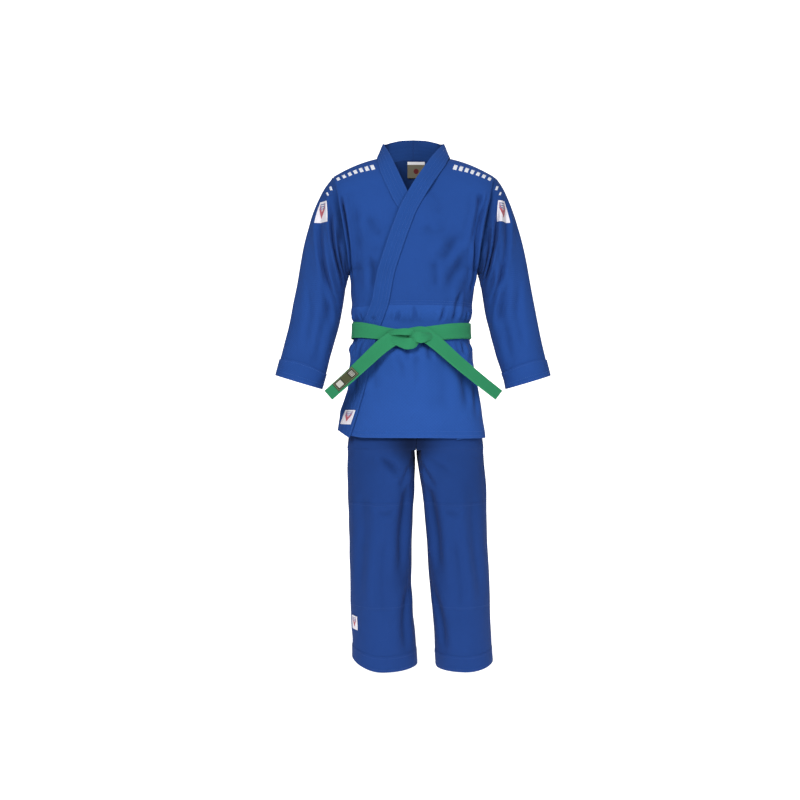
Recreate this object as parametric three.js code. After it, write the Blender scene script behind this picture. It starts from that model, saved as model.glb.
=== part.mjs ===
// Judo uniform as it hangs on a wearer: a belted jacket over separate trousers.
// Millimetres, +Z up. The wearer faces -Y, and the wearer's left is +X.
// The origin is the middle of the neck opening, level with the shoulder line beside the neck.

import * as THREE from 'three';
import { mergeVertices } from 'three/addons/utils/BufferGeometryUtils.js';

const { sin, cos, tan, abs, sqrt, min, max, sign, hypot, round, PI } = Math;
const { lerp, smoothstep, degToRad } = THREE.MathUtils;

// ---- cloth and clearances ----
const cloth = 2.0;              // one layer of jacket or trouser cloth
const bandThick = 3.0;          // folded lapel band
const webbing = 2.0;            // one turn of the belt
const patchThick = 1.2;         // badges and labels
const layerGap = 0.9;           // free space between two layers that lie on each other
const patchGap = 1.5;           // free space under a patch on a round tube
const seamGap = 0.5;            // free space between two pieces sewn edge to edge
const swingGap = 1.5;           // free space beside a seam that moves

// ---- jacket, heights measured down from the shoulder line ----
const jacketLength = 698;
const neckHalfWidth = 88;
const neckHalfDepth = 72;
const neckRise = 20;            // how far the back of the neck opening stands above its sides
const collarRise = 66;          // top of the collar at the back of the neck
const shoulderHalfWidth = 203;
const shoulderDrop = 47;
const shoulderRound = 75;       // radius of the shoulder's rounding from front to back
const armpitDrop = 285;
const armholeHalfDepth = 82;
const chestHalfWidth = 160;
const chestHalfDepth = 105;
const waistSeamDrop = 381;
const waistHalfWidth = 148;
const waistHalfDepth = 96;
const hemHalfWidth = 184;
const hemHalfDepth = 111;
const vApexDrop = 103;
const lapelWidth = 42;
const ventHeight = 140;

// ---- sleeves ----
const sleeveStand = 90;         // from the side of the waist to the cuff's inner corner
const sleeveDrop = 505;         // cuff's outer corner below the shoulder point
const cuffHalfWidth = 59;
const cuffTilt = 16.8;          // degrees that the cuff's edge slopes
const cuffHalfDepth = 49;
const sleeveHalfDepth = 62;
const cuffBand = 42;

// ---- belt ----
const beltDrop = 448;           // middle of the belt
const beltWidth = 38;
const tailLength = 215;
const tailThick = 3.6;
const tailLean = 3;             // degrees that the tails stand off the skirt
const tailAngle = 54;           // degrees between each tail and straight down
const knotHalfWidth = 33;
const knotThick = 17;

// ---- trousers ----
const trouserTopDrop = 413;
const trouserEase = 7;          // free space between the trousers and the jacket
const crotchDrop = 737;
const trouserLength = 1290;     // hem's depth below the shoulder line
const legGap = 5;               // between the two inside leg seams at the crotch
const legHemHalfWidth = 78;
const legHemHalfDepth = 84;
const leftHemCentre = 126;      // middle of each hem from the middle of the uniform: the left leg
const rightHemCentre = 81;      // stands further out than the right one
const hemBand = 40;
const waistbandWidth = 36;
const legSwingFront = 30;       // degrees forwards
const legSwingBack = 15;        // degrees backwards

const pitch = cloth + layerGap;
const underLapelLayer = pitch;
const overPanelLayer = underLapelLayer + bandThick + layerGap;
const overBandLayer = overPanelLayer + pitch + 0.6;
const beltLayer = overBandLayer + bandThick + 2 * layerGap;
const tailLayer = beltLayer + 2 * webbing + 2 * layerGap;

const uniform = new THREE.Group();

function finish(colour, roughness) {
  return new THREE.MeshStandardMaterial({ color: colour, roughness, metalness: 0 });
}
const jacketCloth = finish(0x2a4f97, 0.9);
const skirtCloth = finish(0x305aa7, 0.9);
const trouserCloth = finish(0x254484, 0.9);
const beltCloth = finish(0x358a60, 0.85);
const patchCloth = finish(0xe6e2e4, 0.7);
const labelCloth = finish(0x2b2c24, 0.7);

// ---- curves ----

// A smooth value between stations, each [height, value], lowest first, and straight beyond them.
function profile(stations) {
  const slope = (i) => {
    const a = stations[max(0, i - 1)];
    const b = stations[min(stations.length - 1, i + 1)];
    return (b[1] - a[1]) / (b[0] - a[0]);
  };
  return (height) => {
    const last = stations.length - 1;
    if (height <= stations[0][0]) return stations[0][1] + (height - stations[0][0]) * slope(0);
    if (height >= stations[last][0]) return stations[last][1] + (height - stations[last][0]) * slope(last);
    const i = stations.findIndex(([h]) => height < h) - 1;
    const [[h0, v0], [h1, v1]] = [stations[i], stations[i + 1]];
    const run = h1 - h0;
    const t = (height - h0) / run;
    return v0 * (2 * t ** 3 - 3 * t ** 2 + 1) + slope(i) * run * (t ** 3 - 2 * t ** 2 + t)
      + v1 * (3 * t ** 2 - 2 * t ** 3) + slope(i + 1) * run * (t ** 3 - t ** 2);
  };
}

const midSkirtDrop = lerp(beltDrop, jacketLength, 0.45);

// Half width of the body of the jacket, and above the armpit the line of the armhole seam.
const halfWidth = profile([
  [-jacketLength, hemHalfWidth],
  [-midSkirtDrop, lerp(waistHalfWidth, hemHalfWidth, 0.54)],
  [-beltDrop, waistHalfWidth],
  [-armpitDrop, chestHalfWidth],
  [-shoulderDrop, shoulderHalfWidth],
]);

// Half depth from the middle to the front and to the back.
const halfDepth = profile([
  [-jacketLength, hemHalfDepth],
  [-midSkirtDrop, lerp(waistHalfDepth, hemHalfDepth, 0.55)],
  [-beltDrop, waistHalfDepth],
  [-armpitDrop, chestHalfDepth],
  [-0.7 * armpitDrop, chestHalfDepth],
  [-shoulderDrop, 0.84 * chestHalfDepth],
  [neckRise, neckHalfDepth + 2],
]);

// Half depth of the armhole opening: it narrows to nothing at the armpit.
function armholeDepth(z) {
  const rise = 0.42 * (armpitDrop - shoulderDrop);
  const below = min(1, max(0, (rise - armpitDrop - z) / rise));
  return armholeHalfDepth * sqrt(1 - below ** 2);
}

// Height of the shoulder line: it falls faster towards the arm, and rises inside the back of the neck.
function ridge(x, side) {
  const out = abs(x) - neckHalfWidth;
  const run = shoulderHalfWidth - neckHalfWidth;
  if (out >= 0) return -shoulderDrop * (0.5 * out / run + 0.5 * (out / run) ** 2);
  if (side < 0) return -0.2 * out;
  return (neckRise + shoulderRound) * (1 - (x / neckHalfWidth) ** 2) ** 0.8;
}

const squareness = 2.2;
function depthSquared(x, z, side) {
  const across = min(1, abs(x) / halfWidth(z)) ** squareness;
  const armhole = armholeDepth(z) ** 2;
  const fall = min(1, max(0, (ridge(x, side) - z) / shoulderRound));
  return (armhole + (halfDepth(z) ** 2 - armhole) * (1 - across)) * (1 - (1 - fall) ** 2);
}

// The point of the body's front (side -1) or back (side 1) at x and z, moved out along its normal.
function onBody(x, z, side, offset) {
  const h = 0.4;
  const inward = x < 0 ? h : -h;
  const here = depthSquared(x, z, side);
  const slopeX = (depthSquared(x + inward, z, side) - here) / inward;
  const slopeZ = (here - depthSquared(x, z - h, side)) / h;
  const y = side * sqrt(max(0, here));
  const normal = new THREE.Vector3(-slopeX, 2 * y, -slopeZ).normalize();
  return new THREE.Vector3(x, y, z).addScaledVector(normal, offset);
}

// ---- solids ----

function volumeOf(geometry) {
  const p = geometry.attributes.position;
  const index = geometry.index;
  const [a, b, c] = [new THREE.Vector3(), new THREE.Vector3(), new THREE.Vector3()];
  let volume = 0;
  for (let i = 0; i < index.count; i += 3) {
    a.fromBufferAttribute(p, index.getX(i));
    b.fromBufferAttribute(p, index.getX(i + 1));
    c.fromBufferAttribute(p, index.getX(i + 2));
    volume += a.dot(b.cross(c));
  }
  return volume;
}

// Merges a mapped solid's shared points and turns its faces outwards.
function closed(geometry) {
  geometry.deleteAttribute('normal');
  geometry.deleteAttribute('uv');
  const solid = mergeVertices(geometry, 1e-4);
  if (volumeOf(solid) < 0) {
    const index = solid.index.array;
    for (let i = 0; i < index.length; i += 3) [index[i], index[i + 1]] = [index[i + 1], index[i]];
  }
  solid.computeVertexNormals();
  return solid;
}

function mapPoints(geometry, place) {
  const p = geometry.attributes.position;
  for (let i = 0; i < p.count; i++) {
    const v = place(p.getX(i), p.getY(i), p.getZ(i));
    p.setXYZ(i, v.x, v.y, v.z);
  }
  return closed(geometry);
}

// A sheet: place(u, v, w) gives its point, with u and v from 0 to 1 over it and w 0 or 1 through it.
function sheet(across, up, place) {
  const box = new THREE.BoxGeometry(1, 1, 1, across, up, 1);
  return mapPoints(box, (x, y, z) => place(x + 0.5, y + 0.5, z + 0.5));
}

// A tube: place(angle, v, w) gives its point, with v from 0 to 1 along it and w 0 inside, 1 outside.
function tube(around, along, place) {
  const wall = [];
  for (let i = 0; i <= along; i++) wall.push(new THREE.Vector2(2, i));
  for (let i = along; i >= 0; i--) wall.push(new THREE.Vector2(1, i));
  wall.push(wall[0].clone());
  const step = 2 * PI / around;
  return mapPoints(new THREE.LatheGeometry(wall, around), (x, y, z) => {
    const turn = (round(Math.atan2(z, x) / step) + around) % around;
    return place(turn * step, y / along, round(hypot(x, z)) - 1);
  });
}

function add(name, geometry, material) {
  const mesh = new THREE.Mesh(geometry, material);
  mesh.name = name;
  uniform.add(mesh);
}

// ---- jacket body ----

// Middle of each lapel, as x against height. The left one lies on top and crosses to the right side.
const overLapelX = profile([
  [-jacketLength, -0.945 * hemHalfWidth],
  [-midSkirtDrop, -0.77 * lerp(waistHalfWidth, hemHalfWidth, 0.54)],
  [-beltDrop, -0.705 * waistHalfWidth],
  [-waistSeamDrop, -0.58 * waistHalfWidth],
  [-armpitDrop, -0.39 * chestHalfWidth],
  [-vApexDrop - 53, -0.12 * chestHalfWidth],
  [-vApexDrop - 10, 3],
  [-0.7 * vApexDrop, 0.32 * neckHalfWidth],
  [0, 0.86 * neckHalfWidth],
]);
const underLapelX = profile([
  [-jacketLength, 0.7 * hemHalfWidth],
  [-beltDrop, 0.53 * waistHalfWidth],
  [-waistSeamDrop, 0.42 * waistHalfWidth],
  [-armpitDrop, 0.24 * chestHalfWidth],
  [-vApexDrop - 37, -0.11 * chestHalfWidth],
  [-vApexDrop - 8, -0.39 * neckHalfWidth],
  [0, -0.95 * neckHalfWidth],
]);

const lapelMargin = 18;          // from the under lapel's edge to where the left front starts to come down
const lapelFall = 42;            // width over which it comes down
// How far the left front panel stands off the body: over the right one where they overlap, and
// down on the body towards its own side seam.
function overOffset(x, z) {
  const slope = underLapelX(z + 0.5) - underLapelX(z - 0.5);
  const edge = underLapelX(z) + hypot(1, slope) * (lapelWidth / 2 + lapelMargin);
  return overPanelLayer * (1 - smoothstep(x, edge, edge + lapelFall));
}
const flush = () => 0;

// A point of a panel from its angle round the body.
function atAngle(angle, z, side, offset) {
  const x = halfWidth(z) * sin(angle);
  return onBody(x, z, side, offset);
}
const angleOf = (x, z) => Math.asin(max(-1, min(1, x / halfWidth(z))));

// Rows crowd towards the top, where the shoulder rounds over.
const crowd = (v) => 1 - (1 - v) ** 1.7;

// A front panel of the chest, from the lapel (u 0) to the side seam and armhole (u 1), and from the
// waist seam (v 0) to the shoulder line (v 1). The four edges are blended as a Coons patch.
function frontPanel(hand, lapelX, standOff) {
  const gap = seamGap / 2;
  const low = -waistSeamDrop + gap;
  const sideAngle = PI / 2 - 0.003;
  const inner = (v) => {
    const z = lerp(low, 0, crowd(v));
    return [angleOf(hand * lapelX(z), z), z];
  };
  const outer = (v) => [sideAngle, lerp(low, -shoulderDrop, crowd(v))];
  const innerTop = [angleOf(neckHalfWidth, 0), 0];
  const top = (u) => {
    const x = lerp(neckHalfWidth, shoulderHalfWidth, u);
    const z = ridge(x, -1);
    return [angleOf(x, z), z];
  };
  const bottom = (u) => [lerp(inner(0)[0], sideAngle, u), low];
  return sheet(10, 12, (u, v, w) => {
    const edge = [0, 1].map((k) => {
      const innerPoint = k === 0 ? lerp(inner(v)[0], innerTop[0], v ** 6) : inner(v)[1];
      return lerp(innerPoint, outer(v)[k], u) + lerp(bottom(u)[k], top(u)[k], v)
        - lerp(lerp(bottom(0)[k], bottom(1)[k], u), lerp(innerTop[k], top(1)[k], u), v);
    });
    const z = min(edge[1], ridge(halfWidth(edge[1]) * sin(edge[0]), -1));
    const x = hand * halfWidth(z) * sin(edge[0]);
    const point = onBody(x, z, -1, standOff(x, z) + w * cloth);
    point.y = min(point.y, -gap);
    return point;
  });
}

// The back neck edge rises from the shoulder line to the middle of the back.
const neckEdge = (x) => neckRise * (1 - (x / neckHalfWidth) ** 2);

// One half of the back, from the centre seam (u 0) to the side seam and armhole (u 1).
const neckShare = 0.4;
function backPanel(hand) {
  const gap = seamGap / 2;
  const low = -waistSeamDrop + gap;
  const sideAngle = PI / 2 - 0.003;
  return sheet(10, 12, (u, v, w) => {
    const topX = u < neckShare
      ? neckHalfWidth * sin((PI / 2) * u / neckShare)
      : lerp(neckHalfWidth, shoulderHalfWidth, (u - neckShare) / (1 - neckShare));
    const topZ = u < neckShare ? neckEdge(topX) : ridge(topX, 1);
    const z = lerp(low, topZ, crowd(v));
    const angle = lerp(sideAngle * u, angleOf(topX, topZ), v ** 2);
    const x = halfWidth(z) * sin(angle);
    const point = onBody(x, z, 1, w * cloth);
    point.x = hand * max(point.x, gap);
    point.y = max(point.y, gap);
    return point;
  });
}

// A panel of the skirt between two angles that may change with height.
function skirtPanel(from, to, side, standOff) {
  const top = -waistSeamDrop - seamGap / 2;
  return sheet(side < 0 ? 16 : 10, 13, (u, v, w) => {
    const z = lerp(-jacketLength, top, v);
    const open = 0.004 + 0.012 * smoothstep(-z, jacketLength - ventHeight, jacketLength);
    const angle = lerp(from(z, open), to(z, open), u);
    const x = halfWidth(z) * sin(angle);
    return onBody(x, z, side, standOff(x, z) + w * cloth);
  });
}
const sideSeam = (hand) => (z, open) => hand * (PI / 2 - open);
const lapelSeam = (lapelX) => (z) => angleOf(lapelX(z), z);

add('front_panel_left', frontPanel(1, overLapelX, overOffset), jacketCloth);
add('front_panel_right', frontPanel(-1, underLapelX, flush), jacketCloth);
add('back_panel_left', backPanel(1), jacketCloth);
add('back_panel_right', backPanel(-1), jacketCloth);
add('skirt_front_left', skirtPanel(lapelSeam(overLapelX), sideSeam(1), -1, overOffset), skirtCloth);
add('skirt_front_right', skirtPanel(sideSeam(-1), lapelSeam(underLapelX), -1, flush), skirtCloth);
for (const [hand, name] of [[1, 'left'], [-1, 'right']]) {
  const centre = (z) => hand * seamGap / 2 / halfWidth(z);
  add(`skirt_back_${name}`, skirtPanel(centre, sideSeam(hand), 1, flush), skirtCloth);
}

// ---- lapels and collar ----

// One half of the folded band: up the front edge from the hem, then round the neck to the centre back.
function lapelBand(hand, lapelX, standOff) {
  const chestTop = -0.43 * vApexDrop;
  const half = lapelWidth / 2;
  const gap = seamGap / 2;
  const h = 0.5;
  // A point across the band on the chest: from the sewn edge (v 0) to the free edge (v 1).
  const onChest = (z, v, w) => {
    const slope = (lapelX(z + h) - lapelX(z - h)) / (2 * h);
    const long = hypot(1, slope);
    const across = hand * half * (1 - 2 * v);
    const x = lapelX(z) + across / long;
    const level = z - slope * across / long;
    const limit = halfWidth(level) * sin(PI / 2 - 0.02);
    return onBody(max(-limit, min(limit, x)), level, -1, standOff(x, level) + w * bandThick);
  };
  const sewnStart = onChest(chestTop, 0, 0);
  const freeStart = onChest(chestTop, 1, 0);
  const sewn = [];
  const free = [];
  for (const k of [0, 0.3, 0.6, 0.85]) {
    const x = lerp(abs(sewnStart.x), neckHalfWidth + 3, k ** 0.7);
    const z = lerp(sewnStart.z, ridge(neckHalfWidth + 3, -1), k);
    const lift = lerp(standOff(sewnStart.x, sewnStart.z), layerGap + pitch, k);
    sewn.push(k ? onBody(hand * x, z, -1, lift) : sewnStart);
    free.push(new THREE.Vector3(
      lerp(freeStart.x, hand * 0.86 * neckHalfWidth, k),
      lerp(freeStart.y, 0, k ** 1.5),
      lerp(freeStart.z, 0.57 * collarRise, k)));
  }
  sewn.push(new THREE.Vector3(hand * (neckHalfWidth + 3), 0, pitch + 2.5));
  free.push(new THREE.Vector3(hand * 0.86 * neckHalfWidth, 0, 0.57 * collarRise));
  for (const x of [0.97, 0.82, 0.45, 0]) {
    const edge = onBody(hand * x * neckHalfWidth, neckEdge(x * neckHalfWidth), 1, cloth / 2 - bandThick / 2);
    edge.z += 2 * layerGap + 2.5;
    if (x === 0) edge.x = hand * gap;
    sewn.push(edge);
    const lean = lerp(0.9, 1, x);
    free.push(new THREE.Vector3(x ? edge.x * 0.87 : hand * gap, edge.y * lean,
      lerp(collarRise, 0.57 * collarRise, x ** 2)));
  }
  const sewnCurve = new THREE.CatmullRomCurve3(sewn);
  const freeCurve = new THREE.CatmullRomCurve3(free);
  const onNeck = (t, v, w) => {
    const low = sewnCurve.getPoint(t);
    const high = freeCurve.getPoint(t);
    const along = sewnCurve.getTangent(t).add(freeCurve.getTangent(t));
    const out = new THREE.Vector3().crossVectors(along, high.clone().sub(low)).normalize();
    const point = low.lerp(high, v).addScaledVector(out, hand * w * bandThick);
    if (t === 1) point.x = hand * gap;
    return point;
  };
  const rows = 46;
  const chestShare = 36 / rows;
  return sheet(4, rows, (v, t, w) => {
    const up = 1 - (1 - min(1, t / chestShare)) ** 1.3;
    if (t <= chestShare) return onChest(lerp(-jacketLength, chestTop, up), v, w);
    return onNeck((t - chestShare) / (1 - chestShare), v, w);
  });
}
const overBandOffset = (x, z) =>
  lerp(layerGap + pitch, overBandLayer, smoothstep(-z, 0.5 * vApexDrop, 0.8 * vApexDrop));
add('lapel_band_left', lapelBand(1, overLapelX, overBandOffset), jacketCloth);
add('lapel_band_right', lapelBand(-1, underLapelX, () => underLapelLayer), jacketCloth);

// ---- trim of the jacket ----

// A patch on the body between two x and two heights, on the outside or the inside.
function bodyPatch(x0, x1, z0, z1, side, offset, thick) {
  return sheet(4, 4, (u, v, w) => onBody(lerp(x0, x1, u), lerp(z0, z1, v), side, offset + w * thick));
}

// A strip that runs along the shoulder from x0 to x1, between two angles over the ridge.
function shoulderStrip(hand, x0, x1, angle0, angle1, offset, thick) {
  return sheet(6, 8, (u, v, w) => {
    const x = lerp(x0, x1, u);
    const angle = degToRad(lerp(angle0, angle1, v));
    const side = angle < 0 ? -1 : 1;
    const z = ridge(x, side) - shoulderRound * (1 - cos(angle));
    return onBody(hand * x, z, side, offset + w * thick);
  });
}

const liningInset = 12;          // from the neck and from the armhole to the lining
const liningSpread = 62;         // degrees that the lining reaches down each side of the shoulder line
const markEdge = 38;             // degrees from the shoulder line to the marks
const ventStayHeight = 22;
const ventStaySpread = 0.14;     // radians to each side of the side seam
for (const [hand, name] of [[1, 'left'], [-1, 'right']]) {
  const inner = neckHalfWidth + liningInset;
  const outer = shoulderHalfWidth - liningInset;
  add(`shoulder_lining_${name}`,
    shoulderStrip(hand, inner, outer, -liningSpread, liningSpread, -cloth - 2.4, cloth), jacketCloth);
  add(`shoulder_mark_${name}`, shoulderStrip(hand, neckHalfWidth + 22, shoulderHalfWidth - 6,
    -liningSpread, -markEdge, pitch, patchThick), patchCloth);
  const ventTop = ventHeight - jacketLength;
  add(`vent_stay_${name}`, sheet(6, 2, (u, v, w) => {
    const z = lerp(ventTop, ventTop + ventStayHeight, v);
    const angle = PI / 2 + ventStaySpread * (2 * u - 1);
    const side = u <= 0.5 ? -1 : 1;
    const x = hand * halfWidth(z) * sin(angle);
    const under = hand > 0 && side < 0 ? overOffset(x - 0.4 * lapelWidth, z) : 0;
    return onBody(x, z, side, under + cloth + patchGap + 0.5 + w * patchThick);
  }), skirtCloth);
}
const labelHalf = 23;
const labelShift = 8;
add('neck_label', bodyPatch(labelShift - labelHalf, labelShift + labelHalf, -28, 14, 1,
  -layerGap - patchThick, patchThick), patchCloth);

// The badge near the lower end of the left lapel.
const badgeHeight = 36;
const badgeLow = -jacketLength + 22;
const badgeOffset = overBandLayer + bandThick + patchGap;
add('hem_badge', sheet(3, 3, (u, v, w) => {
  const z = lerp(badgeLow, badgeLow + badgeHeight, v);
  const x = max(-0.975 * halfWidth(z), overLapelX(z) + lerp(-12, 14, u));
  return onBody(lerp(x, overLapelX(z) + 14, u), z, -1, badgeOffset + w * patchThick);
}), patchCloth);

// ---- belt ----

// The belt stands off the front by every layer below it, and lies closer behind.
function beltOffset(angle) {
  return lerp(pitch + layerGap, beltLayer, smoothstep(-sin(angle), -0.45, 0.25));
}

function beltTurn(offset, shift) {
  return tube(48, 2, (angle, v, w) => {
    const z = lerp(-beltWidth / 2, beltWidth / 2, v) - beltDrop + shift;
    const side = sin(angle) < 0 ? -1 : 1;
    const x = halfWidth(z) * cos(angle);
    const point = onBody(x, z, side, beltOffset(angle) + offset + w * webbing);
    return new THREE.Vector3(point.x, point.y, z);
  });
}
add('belt_inner_turn', beltTurn(0, -2), beltCloth);
add('belt_outer_turn', beltTurn(webbing + layerGap, 0), beltCloth);

// The flat knot is a six-sided pad in front of the tails.
const knotX = -16;
const knotZ = -beltDrop - 12;
const front = -(halfDepth(-beltDrop) + tailLayer);
function knotSolid() {
  const outline = new THREE.Shape();
  outline.moveTo(-knotHalfWidth, 8);
  outline.lineTo(-0.55 * knotHalfWidth, 23);
  outline.lineTo(0.45 * knotHalfWidth, 22);
  outline.lineTo(knotHalfWidth, 4);
  outline.lineTo(0.6 * knotHalfWidth, -24);
  outline.lineTo(-0.1 * knotHalfWidth, -31);
  outline.lineTo(-0.8 * knotHalfWidth, -18);
  outline.closePath();
  const bevel = 4;
  const pad = new THREE.ExtrudeGeometry(outline, {
    depth: knotThick - 2 * bevel,
    bevelThickness: bevel,
    bevelSize: bevel,
    bevelOffset: -bevel,
    bevelSegments: 2,
  });
  pad.rotateX(PI / 2);
  pad.translate(knotX, front - tailThick - 3 * layerGap - bevel, knotZ);
  return closed(pad);
}
add('belt_knot', knotSolid(), beltCloth);

// A tail starts behind the knot, and leans out over the skirt.
const tailPivot = 28;           // each tail's pivot from the middle of the knot, sideways
const tailStart = 12;           // from the pivot to the start of the tail
function tailPoint(hand, along, across, through) {
  const angle = degToRad(tailAngle);
  const lean = tan(degToRad(tailLean));
  const x = knotX + hand * (tailPivot + along * sin(angle)) - hand * across * cos(angle);
  const z = knotZ - along * cos(angle) - across * sin(angle);
  return new THREE.Vector3(x, front - along * lean - through, z);
}
for (const [hand, name] of [[1, 'left'], [-1, 'right']]) {
  add(`belt_tail_${name}`, sheet(2, 10, (u, v, w) =>
    tailPoint(hand, tailStart + tailLength * v, (u - 0.5) * beltWidth, w * tailThick)), beltCloth);
}
const beltLabelLength = 44;
add('belt_label', sheet(1, 2, (u, v, w) => {
  const end = tailStart + tailLength - 22;
  return tailPoint(-1, lerp(end - beltLabelLength, end, v), (u - 0.5) * (beltWidth - 8),
    tailThick + layerGap + w * patchThick);
}), labelCloth);

// ---- sleeves ----

// The top of the sleeve follows the shoulder's outside, and its underside leaves the armpit.
const armholeX = (z) => halfWidth(z) + cloth + swingGap;
const cuffRun = 2 * cuffHalfWidth * cos(degToRad(cuffTilt));
const sleeveReach = waistHalfWidth + sleeveStand + cuffRun - shoulderHalfWidth;
const cuffInner = [sleeveReach - cuffRun, sleeveDrop + 2 * cuffHalfWidth * sin(degToRad(cuffTilt))];
function sleeveEdge(points) {
  return new THREE.CatmullRomCurve3(points.map(([x, z]) =>
    new THREE.Vector3(shoulderHalfWidth + x, 0, -shoulderDrop - z)));
}
const topOfArm = sleeveEdge([
  [cloth + swingGap, 0], [0.18 * sleeveReach, 0.06 * sleeveDrop], [0.33 * sleeveReach, 0.15 * sleeveDrop],
  [0.47 * sleeveReach, 0.28 * sleeveDrop], [0.66 * sleeveReach, 0.57 * sleeveDrop], [sleeveReach, sleeveDrop],
]);
const armpitIn = chestHalfWidth - shoulderHalfWidth + cloth + swingGap;
const armpitDown = armpitDrop - shoulderDrop;
const underArm = sleeveEdge([
  [armpitIn, armpitDown], [armpitIn + 4, armpitDown + 12], [armpitIn + 9, armpitDown + 34],
  [lerp(armpitIn, cuffInner[0], 0.28), lerp(armpitDown, cuffInner[1], 0.38)],
  [lerp(armpitIn, cuffInner[0], 0.62), lerp(armpitDown, cuffInner[1], 0.68)], cuffInner,
]);

// A point of the sleeve: t runs from the armhole to the cuff, and angle 0 is the top of the arm.
function sleevePoint(hand, t, angle, offset) {
  const high = topOfArm.getPoint(t);
  const low = underArm.getPoint(t);
  const middle = high.clone().lerp(low, 0.5);
  const up = high.clone().sub(low);
  const half = up.length() / 2;
  up.normalize();
  const depth = lerp(sleeveHalfDepth, cuffHalfDepth, smoothstep(t, 0.4, 1)) + offset;
  const along = (half + offset) * cos(angle);
  const point = middle.addScaledVector(up, along);
  let y = depth * sin(angle);
  if (t < 0.35) {
    const z = lerp(underArm.getPoint(0).z, topOfArm.getPoint(0).z, (1 + cos(angle)) / 2);
    const atSeam = sqrt(depthSquared(halfWidth(z), z, -1)) + offset * abs(sin(angle));
    y = lerp(sign(y) * atSeam, y, smoothstep(t, 0, 0.35));
    point.x = lerp(armholeX(z), point.x, smoothstep(t, 0, 0.15));
  }
  return new THREE.Vector3(hand * point.x, y, point.z);
}

const cuffShare = cuffBand / sleeveDrop;
for (const [hand, name] of [[1, 'left'], [-1, 'right']]) {
  add(`sleeve_${name}`, tube(20, 12, (angle, v, w) =>
    sleevePoint(hand, v ** 1.3, angle, (w - 1) * cloth)), jacketCloth);
  add(`cuff_band_${name}`, tube(20, 1, (angle, v, w) =>
    sleevePoint(hand, lerp(1 - cuffShare, 1, v), angle, layerGap + w * cloth)), jacketCloth);
  add(`underarm_gusset_${name}`, sheet(5, 5, (u, v, w) => {
    const t = lerp(0.16, 0.42, v);
    const spread = 0.5 * (1 - abs(2 * v - 1) * 0.6);
    return sleevePoint(hand, t, PI + spread * (2 * u - 1), patchGap + w * cloth);
  }), jacketCloth);
  add(`shoulder_badge_${name}`, sheet(3, 4, (u, v, w) => {
    const t = lerp(0.31, 0.47, v);
    return sleevePoint(hand, t, -degToRad(lerp(52, 84, u)), patchGap + w * patchThick);
  }), patchCloth);
}

// ---- trousers ----

// The hips keep inside the jacket by the ease. Below the crotch each leg is a tube of its own.
const hipHalfWidth = (z) => halfWidth(max(z, -crotchDrop)) - trouserEase;
const hipHalfDepth = (z) => halfDepth(max(z, -crotchDrop)) - trouserEase;

function hipPoint(angle, z, offset) {
  const a = hipHalfWidth(z) + offset;
  const b = hipHalfDepth(z) + offset;
  return new THREE.Vector3(a * sin(angle), -b * cos(angle), z);
}

function legPoint(hand, angle, z, offset) {
  const t = (-crotchDrop - z) / (trouserLength - crotchDrop);
  const topHalf = (hipHalfWidth(-crotchDrop) - legGap / 2) / 2;
  const half = lerp(topHalf, legHemHalfWidth, smoothstep(t, 0, 0.8)) + offset;
  const centre = lerp(topHalf + legGap / 2, hand > 0 ? leftHemCentre : rightHemCentre, t);
  const depth = lerp(hipHalfDepth(-crotchDrop), legHemHalfDepth, smoothstep(t, 0, 0.9)) + offset;
  return new THREE.Vector3(hand * (centre + half * sin(angle)), -depth * cos(angle), z);
}

// Each leg's top slopes away from its hinge line, so that the leg can swing.
function legTop(y) {
  const angle = degToRad((y < 0 ? legSwingFront : legSwingBack) + 1);
  return -crotchDrop - swingGap - abs(y) * tan(angle);
}

add('waistband', tube(40, 2, (angle, v, w) =>
  hipPoint(angle, -trouserTopDrop - waistbandWidth * (1 - v), (w - 1) * bandThick)), trouserCloth);
for (const [hand, name] of [[1, 'left'], [-1, 'right']]) {
  const loopWidth = 9;
  const loopDistance = 30;
  add(`waistband_loop_${name}`, sheet(2, 3, (u, v, w) => {
    const angle = hand * (loopDistance + (u - 0.5) * loopWidth) / hipHalfWidth(-trouserTopDrop);
    const z = lerp(-trouserTopDrop - waistbandWidth + 4, -trouserTopDrop - 4, v);
    return hipPoint(angle, z, layerGap + w * patchThick);
  }), trouserCloth);
  const seam = seamGap / 2 / waistHalfWidth;
  add(`seat_${name}`, sheet(14, 6, (u, v, w) => {
    const z = lerp(-crotchDrop, -trouserTopDrop - waistbandWidth - seamGap, v);
    return hipPoint(hand * lerp(seam, PI - seam, u), z, (w - 1) * cloth);
  }), trouserCloth);
  add(`trouser_leg_${name}`, tube(28, 6, (angle, v, w) => {
    const top = legTop(legPoint(hand, angle, -crotchDrop, 0).y);
    return legPoint(hand, angle, lerp(-trouserLength, top, v), (w - 1) * cloth);
  }), trouserCloth);
  add(`leg_hem_band_${name}`, tube(28, 1, (angle, v, w) =>
    legPoint(hand, angle, -trouserLength + hemBand * v, layerGap + w * cloth * 0.6)), trouserCloth);
  add(`knee_patch_${name}`, sheet(8, 6, (u, v, w) => {
    const low = lerp(-crotchDrop, -trouserLength, 0.72);
    const high = lerp(-crotchDrop, -trouserLength, 0.24);
    return legPoint(hand, degToRad(lerp(-66, 66, u)), lerp(low, high, v), patchGap + w * cloth);
  }), trouserCloth);
}
const gussetHalf = 24;
add('crotch_gusset', sheet(2, 8, (u, v, w) => {
  const reach = hipHalfDepth(-crotchDrop) - 16;
  const y = lerp(-reach, reach, v);
  const x = (2 * u - 1) * gussetHalf * (1 - 0.7 * abs(2 * v - 1));
  return new THREE.Vector3(x, y, -crotchDrop + 1 + w * cloth);
}), trouserCloth);

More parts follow.
